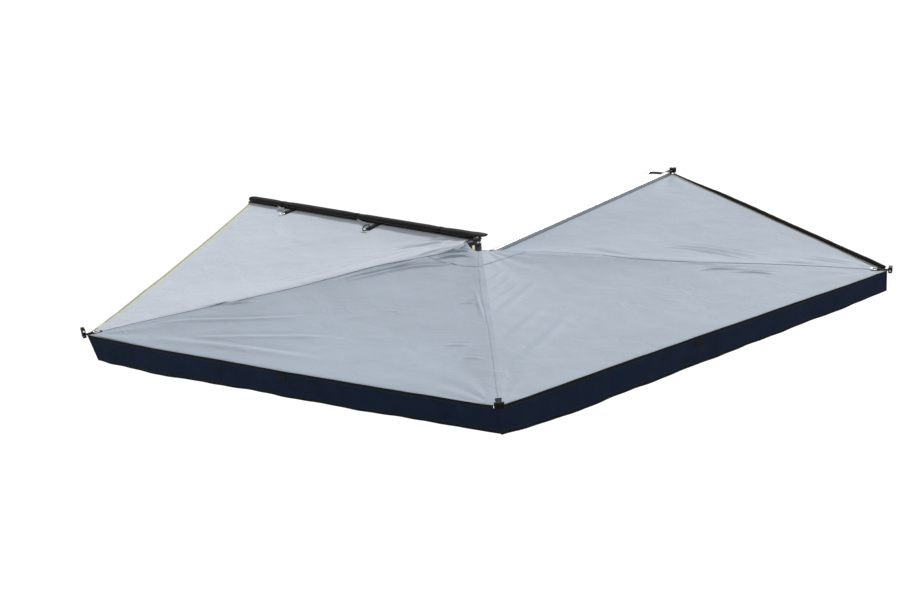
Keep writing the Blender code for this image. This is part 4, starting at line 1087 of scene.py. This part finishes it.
for arm, panel, slant in ((0, "left", VALANCE_SLANT), (1, "rear", 0.0)):
    width = 2 * ARM_LENGTH * math.sin(SPREADS[arm + 1] / 2)
    inset = 0.0002 / width
    shares = np.linspace(inset, 1 - inset, 260)
    height = float(valance_height(arm, shares).mean())
    downs = np.linspace(0, 1, 26)
    grid, outward = valance_grid(arm, shares, downs, slant)
    face = np.array(outward) * CLOTH_THICKNESS / 2
    made = shell(f"valance_cloth_{panel}", grid + face, grid - face, spans_of(grid), smooth_angle=60)
    dress(made, valance_cloth)
    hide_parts(f"valance_{panel}")
    area = mesh_area(grid)
    edge_share = BINDING / width
    ends = np.linspace(BINDING / height, 1 - BINDING / height, 24)
    # The two ends that meet at the second corner are bound in the valance's own colour
    first_end, last_end = {"left": (binding_cloth, valance_cloth),
                           "rear": (valance_cloth, binding_cloth)}[panel]
    trims = [border_strip(f"valance_{panel}_{part}", arm, slant, *rest) for part, *rest in (
        ("top_binding", shares, np.linspace(0.0, BINDING / height, 3)),
        ("bottom_binding", shares, np.linspace(1 - BINDING / height, 1.0, 3)),
        ("end_binding_1", np.linspace(inset, inset + edge_share, 3), ends, first_end),
        ("end_binding_2", np.linspace(1 - inset - edge_share, 1 - inset, 3), ends, last_end),
    )]
    rows = []
    for down in (BINDING * 1.25 / height, 1 - BINDING * 1.25 / height):
        row, _ = valance_grid(arm, shares, [down], slant, CLOTH_THICKNESS / 2 + 0.0002)
        rows.append(row[0])
    thread = stitch_rows(f"valance_{panel}_stitches", rows, dark_thread)
    trims.append(thread)
    patch_share = {0: 0.528, 1: 0.466}[arm]
    half = 0.021 / width
    patch_grid, _ = valance_grid(arm, np.linspace(patch_share - half, patch_share + half, 7),
                                 np.linspace(0.14, 0.37, 7), slant)
    out = np.array(outward)
    patch = shell(f"valance_{panel}_loop_patch", patch_grid + out * 0.0030, patch_grid + out * 0.0009,
                  spans_of(patch_grid), smooth_angle=50)
    dress(patch, black_webbing)
    trims.append(patch)
    for trim in trims:
        fold_away(trim, panel)
    fold_away(made, panel)

for panel, (made, area) in panel_pieces.items():
    fold_away(made, panel)

# Corner fittings

def arm_point(arm, reach, aside=0.0, up=0.0):
    """A point beside and above an arm's centre line; aside is to the left, seen outwards."""
    heading = HEADINGS[arm]
    point = Vector(arm_top(arm, reach, up))
    return point + Vector((-heading.y, heading.x, 0)) * aside


def arm_frame(arm, reach, aside=0.0, up=0.0):
    """A place on an arm with X along it, Y to its left and Z up from it."""
    heading = HEADINGS[arm]
    along = (heading * math.cos(SLOPE) - Vector((0, 0, math.sin(SLOPE)))).normalized()
    left = Vector((-heading.y, heading.x, 0))
    turn = Matrix((along, left, along.cross(left))).transposed().to_4x4()
    return Matrix.Translation(arm_point(arm, reach, aside, up)) @ turn


def dome_bolt(name, place, radius=0.0045, height=0.003):
    """A domed bolt head with a washer under it."""
    profile = [(0, 0), (radius * 1.5, 0), (radius * 1.5, 0.0009), (radius, 0.0010), (radius, height * 0.45),
                (radius * 0.82, height * 0.8), (radius * 0.45, height), (radius * 0.4, height * 0.6),
               (0, height * 0.6)]
    return dress(turned(name, profile, place, 20), chrome)


def oval_ring(name, place, length, width, wire, finish):
    turns = np.linspace(0, 2 * math.pi, 32, endpoint=False)
    path = [place @ Vector((length / 2 * math.cos(a), width / 2 * math.sin(a), wire)) for a in turns]
    return dress(tube(name, path, wire, 8, loop=True), finish)


def flat_strap(name, points, side, width, thickness, finish):
    """A strap along points, as wide as given along one side direction."""
    path = np.asarray([tuple(p) for p in points], float)
    side = np.asarray(side, float) / np.linalg.norm(np.asarray(side, float))
    tangent = np.gradient(path, axis=0)
    tangent /= np.linalg.norm(tangent, axis=1, keepdims=True)
    normal = np.cross(tangent, side)
    normal /= np.linalg.norm(normal, axis=1, keepdims=True)
    offsets = np.linspace(-width / 2, width / 2, 5)
    upper = path[:, None] + side * offsets[None, :, None] + normal[:, None] * thickness / 2
    under = path[:, None] + side * offsets[None, :, None] - normal[:, None] * thickness / 2
    uvs = np.zeros(upper.shape[:2] + (2,))
    uvs[..., 0] = offsets[None]
    uvs[..., 1] = np.concatenate([[0], np.cumsum(np.linalg.norm(np.diff(path, axis=0), axis=1))])[:, None]
    return dress(shell(name, upper, under, uvs, smooth_angle=50), finish)


def block(name, place, low, high, edge=0.002):
    """A box with its edges rounded off, in a place's own directions."""
    bm = bmesh.new()
    bmesh.ops.create_cube(bm, size=1.0)
    size = Vector(high) - Vector(low)
    bmesh.ops.scale(bm, vec=size, verts=bm.verts)
    bmesh.ops.translate(bm, vec=(Vector(high) + Vector(low)) / 2, verts=bm.verts)
    bmesh.ops.bevel(bm, geom=bm.edges[:], offset=edge, segments=3, profile=0.5, affect="EDGES")
    bm.transform(place)
    mesh = bpy.data.meshes.new(name)
    bm.to_mesh(mesh)
    bm.free()
    mesh.shade_smooth()
    mesh.set_sharp_from_angle(angle=math.radians(45))
    made = bpy.data.objects.new(name, mesh)
    bpy.context.scene.collection.objects.link(made)
    return made


# Black end fittings at the canopy's three hemmed corners, with their bolts and two wings
plate_top = CHANNEL_HEIGHT / 2 + 2 * GAP + CLOTH_THICKNESS + 0.0016
HEAD_START = 2.206
HEAD_END = 2.224
HEAD_LOWS = {0: 0.0065, 1: 0.0110, 2: 0.0065}
HEAD_TOPS = {0: 0.055, 1: 0.0375, 2: 0.036}
HEAD_WIDTHS = {0: 0.040, 1: 0.042, 2: 0.040}
for arm in (0, 1, 2):
    place = arm_frame(arm, 0.0)
    top, half = HEAD_TOPS[arm], HEAD_WIDTHS[arm] / 2
    parts = [block("upright", place, (HEAD_START, -half, HEAD_LOWS[arm]), (HEAD_END, half, top), 0.003)]
    if arm != 1:
        low, high = (HEAD_START + 0.003, half - 0.004, 0.018), (HEAD_END - 0.004, half + 0.016, 0.029)
        parts.append(block("wing", place, low, high, 0.002))
    for part in parts:
        dress(part, nylon_black)
    made = joined(f"corner_head_{arm + 1}", parts)
    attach(made, f"arm_{arm + 1}")
    middle = (HEAD_START + HEAD_END) / 2
    heads = []
    for side in ((-1,) if arm == 1 else (1, -1)):
        turn = Matrix.Rotation(-side * math.pi / 2, 4, "X")
        for height in ((0.018, 0.042) if arm == 0 else (0.020,)):
            heads.append(dome_bolt("head_side", arm_frame(arm, middle, side * half, height) @ turn,
                                   {0: 0.0032, 1: 0.0042, 2: 0.0022}[arm], 0.0034))
    made = joined(f"corner_bolts_{arm + 1}", heads)
    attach(made, f"arm_{arm + 1}")

# Ring, strap and patch on the canopy's corners at the first and third arms, over the corner plates
strap_level = plate_top + 0.0006
for arm, middle, length, width in ((0, 2.156, 0.026, 0.024), (2, 2.138, 0.034, 0.028)):
    place = arm_frame(arm, middle, 0, strap_level)
    ring = oval_ring(f"corner_ring_{arm + 1}", place, length, width, 0.0019, chrome)
    near = middle + length / 2 - 0.0030
    strap_path = [arm_point(arm, r, 0, strap_level + u) for r, u in
                  ((near, 0.0010), (near + 0.0005, 0.0040), (near + 0.005, 0.0052), (near + 0.014, 0.0034),
                   (HEAD_START - 0.0003, 0.0024))]
    aside = Vector((-HEADINGS[arm].y, HEADINGS[arm].x, 0))
    strap = flat_strap(f"corner_strap_{arm + 1}", strap_path, aside, 0.016, 0.0018, black_webbing)
    low = (middle - 0.020 if arm == 0 else near + 0.014, -0.0145, plate_top + 0.0002)
    high = (middle + 0.002 if arm == 0 else HEAD_START - 0.004, 0.0145, plate_top + 0.0005)
    patch = block(f"corner_patch_{arm + 1}", arm_frame(arm, 0.0), low, high, 0.0001)
    dress(patch, seam_cloth)
    for made in (ring, strap, patch):
        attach(made, f"arm_{arm + 1}")
    if arm == 2:
        # The second arm folds closely over these. The ring is rigid.
        for made in (ring, strap):
            arm_top(arm, middle, plate_top + 0.0002)
            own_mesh(made)

# Clamp and ring at the fourth arm's tip; what lies over the channel stays below the arm that folds above it
CLAMP_LEVEL = 0.0174
CLAMP_TOP = 0.029
place = arm_frame(3, 0.0)
parts = [
    block("clamp_plate", place, (2.146, -0.017, CHANNEL_HEIGHT / 2 + GAP), (2.212, 0.017, CLAMP_LEVEL), 0.0010),
    block("clamp_body", place, (2.2068, -0.019, -0.006), (2.238, 0.019, CLAMP_TOP), 0.003),
]
for part in parts:
    dress(part, nylon_black)
made = joined("tip_clamp", parts)
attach(made, "arm_4")
heads = [dome_bolt("clamp_head", arm_frame(3, reach, 0, CLAMP_TOP - 0.0001), 0.0045, 0.0040)
         for reach in (2.2152, 2.2295)]
heads.append(oval_ring("clamp_ring", arm_frame(3, 2.118, 0, CHANNEL_HEIGHT / 2 + GAP), 0.046, 0.036, 0.0015,
                       chrome))
made = joined("tip_clamp_bolts", heads)
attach(made, "arm_4")


# Travel cover, rolled along the rail's top, its end at the hub pressed flat on the hub's plate

COVER_TIES = 3
COVER_HEIGHT = 0.036
COVER_DEPTH = 0.056
COVER_ROUND = 0.050        # length over which an end is rounded
COVER_END = 0.45
COVER_PINCH = 0.17
COVER_FLAT = 0.42
COVER_INBOARD = 0.012
cover_x = (rail_low.x + rail_high.x) / 2 + COVER_INBOARD
hub_plate_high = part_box("hub_top_plate")[1]
rail_seat = rail_high.z + GAP
hub_seat = hub_plate_high.z + GAP
cover_middle_z = rail_seat + COVER_FLAT * COVER_HEIGHT
cover_crest = cover_middle_z + COVER_HEIGHT / 2


def cover_point(share, angle, lift=0.0):
    """A point on the roll: share along it, angle round it, lift off its surface."""
    length = cover_high.y - cover_low.y
    y = cover_low.y + length * share
    end = np.clip(np.minimum(share, 1 - share) * length / COVER_ROUND, 0, 1)
    swell = COVER_END + (1 - COVER_END) * np.sqrt(np.maximum(1 - (1 - end) ** 2, 0))
    swell = swell - COVER_PINCH * np.sin(math.pi * COVER_TIES * share) ** 24
    crease = 1 - 0.045 * np.cos(3 * angle + 9 * share) - 0.022 * np.sin(7 * angle + 31 * share)
    crease = crease - 0.016 * np.sin(60 * share + 2 * np.sin(angle)) * np.cos(2 * angle)
    across = (COVER_DEPTH / 2 * swell * crease + lift) * np.cos(angle)
    up = (COVER_HEIGHT / 2 * swell * (0.5 + 0.5 * crease) + lift) * np.sin(angle)
    height = np.minimum(cover_middle_z + np.maximum(up, rail_seat - cover_middle_z), cover_crest + lift)
    off_hub = smooth_step(y, hub_plate_high.y + GAP, hub_plate_high.y + 0.07)
    pressed = (cover_crest - hub_seat) / (cover_crest - rail_seat)
    height = cover_crest + lift - (cover_crest + lift - height) * (pressed + (1 - pressed) * off_hub)
    return np.stack([cover_x + across, y + 0 * angle, height], axis=-1)


shares = (1 - np.cos(np.linspace(0, math.pi, 260))) / 2
shares = 0.4 * shares + 0.6 * np.linspace(0, 1, 260)
angles = np.linspace(0, 2 * math.pi, 48, endpoint=False)
rings = cover_point(shares[:, None], angles[None, :])
index = np.arange(rings.shape[0] * 48).reshape(-1, 48)
faces = [tuple(index[0][::-1]), tuple(index[-1])]
for i in range(len(index) - 1):
    for j in range(48):
        k = (j + 1) % 48
        faces.append((index[i, j], index[i, k], index[i + 1, k], index[i + 1, j]))
cover = mesh_object("cover_roll", rings.reshape(-1, 3), faces, None, None)
face_outward(cover)
cover.data.set_sharp_from_angle(angle=math.radians(70))
dress(cover, cover_vinyl)
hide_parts("travel_cover")
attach(cover, "root")

PIPING_ANGLE = math.radians(200)
path = np.concatenate([
    cover_point(np.full(14, 0.0015), np.radians(np.linspace(20, 195, 14)), 0.0010),
    cover_point(np.linspace(0.003, 0.992, 220), np.full(220, PIPING_ANGLE), 0.0010),
])
piping = dress(tube("cover_piping", path, 0.0022, 8), piping_vinyl)
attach(piping, "root")
for number in range(COVER_TIES):
    share = (number + 0.5) / COVER_TIES
    path = cover_point(np.full(40, share), np.radians(np.linspace(-24, 204, 40)), 0.0012)
    tie = flat_strap(f"cover_tie_{number + 1}", path, (0, 1, 0), 0.025, 0.0016, black_webbing)
    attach(tie, "root")


def on_front(y, out, lift):
    """A point on the front panel at a place along the rail and a distance outboard of it."""
    along = y + out * math.tan(SPREADS[0] / 2) - HUB.y - RAIL_EDGE_START
    reach = CLOTH_CUT + along / (RAIL_EDGE_END - RAIL_EDGE_START) * (ARM_LENGTH - CLOTH_CUT)
    share = out / math.cos(SPREADS[0] / 2) / float(width_of(0, np.array(reach)))
    return Vector(cloth(0, np.array(reach), np.array(share), lift + CLOTH_THICKNESS / 2))


def press_to_rail(made):
    """The piece stays with the rail. The rings and the buckle are rigid."""
    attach(made, "root")
    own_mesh(made)


# Straps from under the cover onto the canopy: a thick tab with a ring at its end, and a loose webbing end
RAIL_STRAPS = (
    # places of the tab and webbing along the rail; ring's length, width, tilt in degrees, lift and finish
    (0.553, 0.725, 0.030, 0.026, 0, 0.004, chrome),
    (-0.258, -0.060, 0.050, 0.048, -32, 0.016, nylon_black),
)
for number, (tab_y, web_y, length, width, tilt, ring_lift, ring_finish) in enumerate(RAIL_STRAPS, 1):
    face = RAIL_FACE - 0.0022
    path = [(face + 0.014, tab_y, rail_seat + 0.002), (face + 0.001, tab_y, rail_seat + 0.0015),
            (face - 0.001, tab_y, GROOVE_LEVEL + 0.008)]
    path += [on_front(tab_y, out, lift) for out, lift in
             ((0.010, 0.006), (0.030, 0.006), (0.055, 0.0065), (0.078, 0.0060), (0.092, 0.0050))]
    tab = flat_strap(f"rail_tab_{number}", path, (0, 1, 0), 0.032, 0.0075, black_webbing)
    tilted = Matrix.Rotation(math.radians(tilt), 4, "Y")
    centre = Matrix.Translation(on_front(tab_y, 0.102, ring_lift)) @ tilted
    ring = oval_ring(f"rail_ring_{number}", centre, length, width, 0.0032, ring_finish)
    path = [Vector((face, web_y, GROOVE_LEVEL + 0.004)), on_front(web_y - 0.02, 0.012, 0.005),
            on_front(web_y - 0.07, 0.030, 0.008), on_front(tab_y + 0.05, 0.052, 0.010),
            on_front(tab_y + 0.02, 0.068, 0.012), on_front(tab_y, 0.080, 0.0125)]
    end = flat_strap(f"rail_strap_end_{number}", path, (0.62, 0.37, 0.69), 0.026, 0.0022, grey_webbing)
    for made in (tab, ring, end):
        press_to_rail(made)
    if number == 2:
        continue
    buckle_turn = Matrix.Rotation(math.radians(-60), 4, "Z")
    buckle_place = Matrix.Translation(on_front(web_y - 0.075, 0.032, 0.010)) @ buckle_turn
    bars = [block("bar", buckle_place, (-0.018, y - 0.003, -0.003), (0.018, y + 0.003, 0.004), 0.0012)
            for y in (-0.013, 0.0, 0.013)]
    bars += [block("bar", buckle_place, (x - 0.0025, -0.015, -0.003), (x + 0.0025, 0.015, 0.005), 0.0012)
             for x in (-0.017, 0.017)]
    for bar in bars:
        dress(bar, nylon_grey)
    buckle = joined(f"rail_buckle_{number}", bars)
    press_to_rail(buckle)

# Chocks that carry the cover from the rail's end up to the hub's plate
spacer_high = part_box("hub_spacer")[1]
for name, y_low, y_high, z_low in (
    ("cover_chock_rail", rail_low.y + 0.0005, rail_low.y + 0.045, rail_high.z + GAP),
    ("cover_chock_hub", hub_plate_high.y + 0.0005, rail_low.y - 0.0005, spacer_high.z + GAP),
):
    rows = []
    for y in np.linspace(y_low, y_high, 14):
        off_hub = float(smooth_step(y, hub_plate_high.y + GAP, hub_plate_high.y + 0.07))
        pressed = (cover_crest - hub_seat) / (cover_crest - rail_seat)
        top = cover_crest - (cover_crest - rail_seat) * (pressed + (1 - pressed) * off_hub) - 0.0004
        rows.append([(rail_low.x + 0.0006, y, z_low), (rail_low.x + 0.0006, y, max(top, z_low + 0.0003)),
                     (rail_high.x - 0.0006, y, max(top, z_low + 0.0003)), (rail_high.x - 0.0006, y, z_low)])
    points = [point for row in rows for point in row]
    faces = [(0, 1, 2, 3), tuple(len(points) - 4 + k for k in (3, 2, 1, 0))]
    for i in range(len(rows) - 1):
        faces += [(4 * i + k, 4 * i + (k + 1) % 4, 4 * i + 4 + (k + 1) % 4, 4 * i + 4 + k) for k in range(4)]
    chock = mesh_object(name, points, faces, None, None)
    face_outward(chock)
    chock.data.set_sharp_from_angle(angle=math.radians(30))
    dress(chock, bracket_black)
    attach(chock, "root")

# Bolt heads on the hub's web and zinc plate, and rivets through the arms' channels
web_low, web_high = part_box("hub_web")
zinc_low, zinc_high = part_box("hub_spacer")
outboard = Matrix.Rotation(-math.pi / 2, 4, "Y")
heads = []
for low, high in ((web_low, web_high), (zinc_low, zinc_high)):
    for share in (0.22, 0.78):
        place = Matrix.Translation((low.x, (low.y + high.y) / 2, low.z + (high.z - low.z) * share)) @ outboard
        heads.append(dome_bolt(f"hub_head_{len(heads)}", place, 0.0058, 0.0050))
made = joined("hub_bolt_heads", heads)
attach(made, "root")
RIVET_REACHES = (0.100, 0.125, 0.158)
ROOT_SLEEVES = {0: (0.0665, 0.083), 1: (0.0665, 0.083 + HUB_OPENING), 2: (0.0665, 0.083)}
SLEEVE_WALL = 0.0013
for arm, (start, end) in ROOT_SLEEVES.items():
    outline = []
    for wall in (SLEEVE_WALL, 0.00015):
        side, high, low = CHANNEL_WIDTH / 2 + wall, CHANNEL_HEIGHT / 2 + wall, -CHANNEL_HEIGHT / 2
        bend = 0.003
        outline.append([(side, low), (side, high - bend), (side - bend * 0.3, high - bend * 0.3),
                        (side - bend, high), (bend - side, high), (bend * 0.3 - side, high - bend * 0.3),
                        (-side, high - bend), (-side, low)])
    place = arm_frame(arm, 0.0)
    grids = [np.array([[tuple(place @ Vector((reach, y, z))) for y, z in line] for reach in (start, end)])
             for line in outline]
    sleeve = shell(f"arm_{arm + 1}_root_sleeve", grids[0], grids[1], spans_of(grids[0]), smooth_angle=30)
    dress(sleeve, nylon_black)
    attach(sleeve, f"arm_{arm + 1}")
KNUCKLE_RADIUS = 0.020
KNUCKLE_BOLT_HEADINGS = {0: (226, 268), 1: (), 2: (180, 232), 3: (205, 250)}
for arm in (0, 1, 2, 3):
    heads = []
    for heading in KNUCKLE_BOLT_HEADINGS[arm]:
        turn = Matrix.Rotation(math.radians(heading), 4, "Z") @ Matrix.Rotation(math.pi / 2, 4, "Y")
        centre = Matrix.Translation((HUB.x, HUB.y, LEVELS[arm]))
        place = centre @ turn @ Matrix.Translation((0, 0, KNUCKLE_RADIUS - 0.0006))
        heads.append(dome_bolt(f"knuckle_bolt_{heading}", place, 0.0040, 0.0040))
    for side in (1, -1):
        for reach in RIVET_REACHES:
            wall = SLEEVE_WALL if reach < ROOT_SLEEVES.get(arm, (0, 0))[1] else 0
            aside = side * (CHANNEL_WIDTH / 2 + wall)
            place = arm_frame(arm, reach, aside, 0) @ Matrix.Rotation(-side * math.pi / 2, 4, "X")
            heads.append(dome_bolt(f"rivet_{len(heads)}", place, 0.0036, 0.0022))
    made = joined(f"arm_{arm + 1}_rivets", heads)
    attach(made, f"arm_{arm + 1}")

# Tie strap at the fourth arm's tip
tie_low, tie_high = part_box("tie_strap")
TIE_HEADING = 105.0
TIE_TILT = -30.0
TIE_LENGTH = 0.130
run = Vector((math.cos(math.radians(TIE_HEADING)), math.sin(math.radians(TIE_HEADING)), 0))
across = Matrix.Rotation(math.radians(TIE_TILT), 3, run) @ Vector((-run.y, run.x, 0))
tie_middle = (tie_low + tie_high) / 2
path = [tie_middle + run * (TIE_LENGTH * s) + Vector((0, 0, 0.0008 * math.sin(9 * s)))
        for s in np.linspace(-0.5, 0.5, 16)]
tie = flat_strap("tie_webbing", path, across, 0.020, 0.0022, black_webbing)
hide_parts("tie_strap")
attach(tie, "arm_4")
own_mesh(tie)


# Finishes of the solid parts

def paint(finish, *names):
    for name in names:
        node = frame["nodes"][name]
        for slot in node.material_slots:
            slot.material = finish


for number in (1, 2, 3, 4):
    turn = math.degrees(math.atan2(HEADINGS[number - 1].y, HEADINGS[number - 1].x))
    # The channels' sides and undersides carry painted shade, 0.80 of the top's colour.
    bar = drawn_metal(f"arm_{number}_aluminium", ALUMINIUM, turn, 0.42, sides=0.80)
    paint(bar, f"arm_{number}_channel")
    paint(cast_grey, f"arm_{number}_knuckle")
    paint(nylon_black, f"arm_{number}_tip")
    if number < 4:
        leg = drawn_metal(f"leg_{number}_aluminium", shade(ALUMINIUM, 0.85), turn, 0.36)
        paint(leg, f"leg_{number}_outer", f"leg_{number}_inner")
        paint(bracket_black, f"arm_{number}_corner_plate")
        paint(nylon_black, f"leg_{number}_collar", f"leg_{number}_lever")
        paint(rubber_black, f"leg_{number}_foot")
        paint(chrome, f"leg_{number}_pin")
rail_black = drawn_metal("rail_black", (0.022, 0.022, 0.024), 90, 0.42, 0.3)
paint(rail_black, "rail")
paint(nylon_black, "rail_end_cap")
paint(bracket_black, "hub_top_plate", "hub_bottom_plate", "hub_web")
paint(zinc, "hub_spacer", "hub_back_plate")
paint(chrome, "hub_slot_bolt_1", "hub_slot_bolt_2", "tie_hook")
paint(dark_steel, "pivot_bolt", "pivot_nut")
paint(bracket_black, "rack_bracket_rear", "rack_bracket_middle", "rack_bracket_front")
paint(chrome, "rack_bolt_rear", "rack_bolt_middle", "rack_bolt_front")

# Each canopy panel's span, looked up and not used further
SPAN_OF_PANEL = {"front": 0, "left": 1, "rear": 2, "right": 3}
for panel, (made, area) in panel_pieces.items():
    span = SPAN_OF_PANEL[panel]


# Floor, light and camera

def seen_by_camera(tree):
    """1 for rays that come from the camera, straight or by way of a mirror or clear piece."""
    rays = tree.nodes.new("ShaderNodeLightPath")
    seen = tree.nodes.new("ShaderNodeMath")
    seen.operation = "MAXIMUM"
    mirrored = tree.nodes.new("ShaderNodeMath")
    mirrored.operation = "MAXIMUM"
    tree.links.new(rays.outputs["Is Camera Ray"], seen.inputs[0])
    tree.links.new(rays.outputs["Is Glossy Ray"], mirrored.inputs[0])
    tree.links.new(rays.outputs["Is Transmission Ray"], mirrored.inputs[1])
    tree.links.new(mirrored.outputs[0], seen.inputs[1])
    return seen.outputs[0]


def stage_floor():
    size = 300.0
    points = [(x * size, y * size, FLOOR_LEVEL) for x, y in ((-1, -1), (1, -1), (1, 1), (-1, 1))]
    floor = mesh_object("floor", points, [(0, 1, 2, 3)], None, None)
    finish = bpy.data.materials.new("floor_white")
    finish.use_nodes = True
    tree = finish.node_tree
    shader = tree.nodes["Principled BSDF"]
    shader.inputs["Base Color"].default_value = (0.82, 0.82, 0.82, 1)
    shader.inputs["Roughness"].default_value = 0.9
    shader.inputs["Specular IOR Level"].default_value = 0.0
    glow = tree.nodes.new("ShaderNodeEmission")
    glow.inputs["Color"].default_value = (1, 1, 1, 1)
    level = tree.nodes.new("ShaderNodeMath")
    level.operation = "MULTIPLY"
    level.inputs[1].default_value = 0.34
    both = tree.nodes.new("ShaderNodeAddShader")
    links = tree.links
    links.new(seen_by_camera(tree), level.inputs[0])
    links.new(level.outputs[0], glow.inputs["Strength"])
    links.new(shader.outputs[0], both.inputs[0])
    links.new(glow.outputs[0], both.inputs[1])
    links.new(both.outputs[0], tree.nodes["Material Output"].inputs["Surface"])
    floor.data.materials.append(finish)


def sky():
    world = bpy.data.worlds.new("studio")
    bpy.context.scene.world = world
    world.use_nodes = True
    tree = world.node_tree
    shade_node = tree.nodes["Background"]
    shade_node.inputs["Color"].default_value = (0.97, 0.985, 1.0, 1)
    shade_node.inputs["Strength"].default_value = 0.42
    white = tree.nodes.new("ShaderNodeBackground")
    white.inputs["Color"].default_value = (1, 1, 1, 1)
    white.inputs["Strength"].default_value = 1.0
    mix = tree.nodes.new("ShaderNodeMixShader")
    links = tree.links
    links.new(seen_by_camera(tree), mix.inputs[0])
    links.new(shade_node.outputs[0], mix.inputs[1])
    links.new(white.outputs[0], mix.inputs[2])
    links.new(mix.outputs[0], tree.nodes["World Output"].inputs["Surface"])


def sun(name, energy, direction, spread):
    lamp = bpy.data.lights.new(name, "SUN")
    lamp.energy = energy
    lamp.angle = math.radians(spread)
    made = bpy.data.objects.new(name, lamp)
    bpy.context.scene.collection.objects.link(made)
    made.rotation_euler = Vector(direction).to_track_quat("-Z", "Y").to_euler()
    return made


def photo_camera():
    yaw, pitch, roll = (math.radians(a) for a in (YAW, PITCH, ROLL))
    ahead = Vector((math.sin(yaw) * math.cos(pitch), math.cos(yaw) * math.cos(pitch), -math.sin(pitch)))
    right = ahead.cross(Vector((0, 0, 1))).normalized()
    down = ahead.cross(right)
    across = right * math.cos(roll) + down * math.sin(roll)
    below = down * math.cos(roll) - right * math.sin(roll)
    lens = bpy.data.cameras.new("photo_camera")
    lens.sensor_width = SENSOR
    lens.lens = FOCAL_PIXELS / PHOTO_WIDTH * SENSOR
    lens.clip_start = 0.05
    lens.clip_end = 1000
    made = bpy.data.objects.new("photo_camera", lens)
    bpy.context.scene.collection.objects.link(made)
    turn = Matrix((across, -below, -ahead)).transposed().to_4x4()
    made.matrix_world = Matrix.Translation(CAMERA_PLACE) @ turn
    bpy.context.scene.camera = made


stage_floor()
sky()
sun("key_light", 2.50, (-1.10, -0.30, -0.80), 8)
photo_camera()
bpy.context.scene.view_settings.view_transform = "Standard"
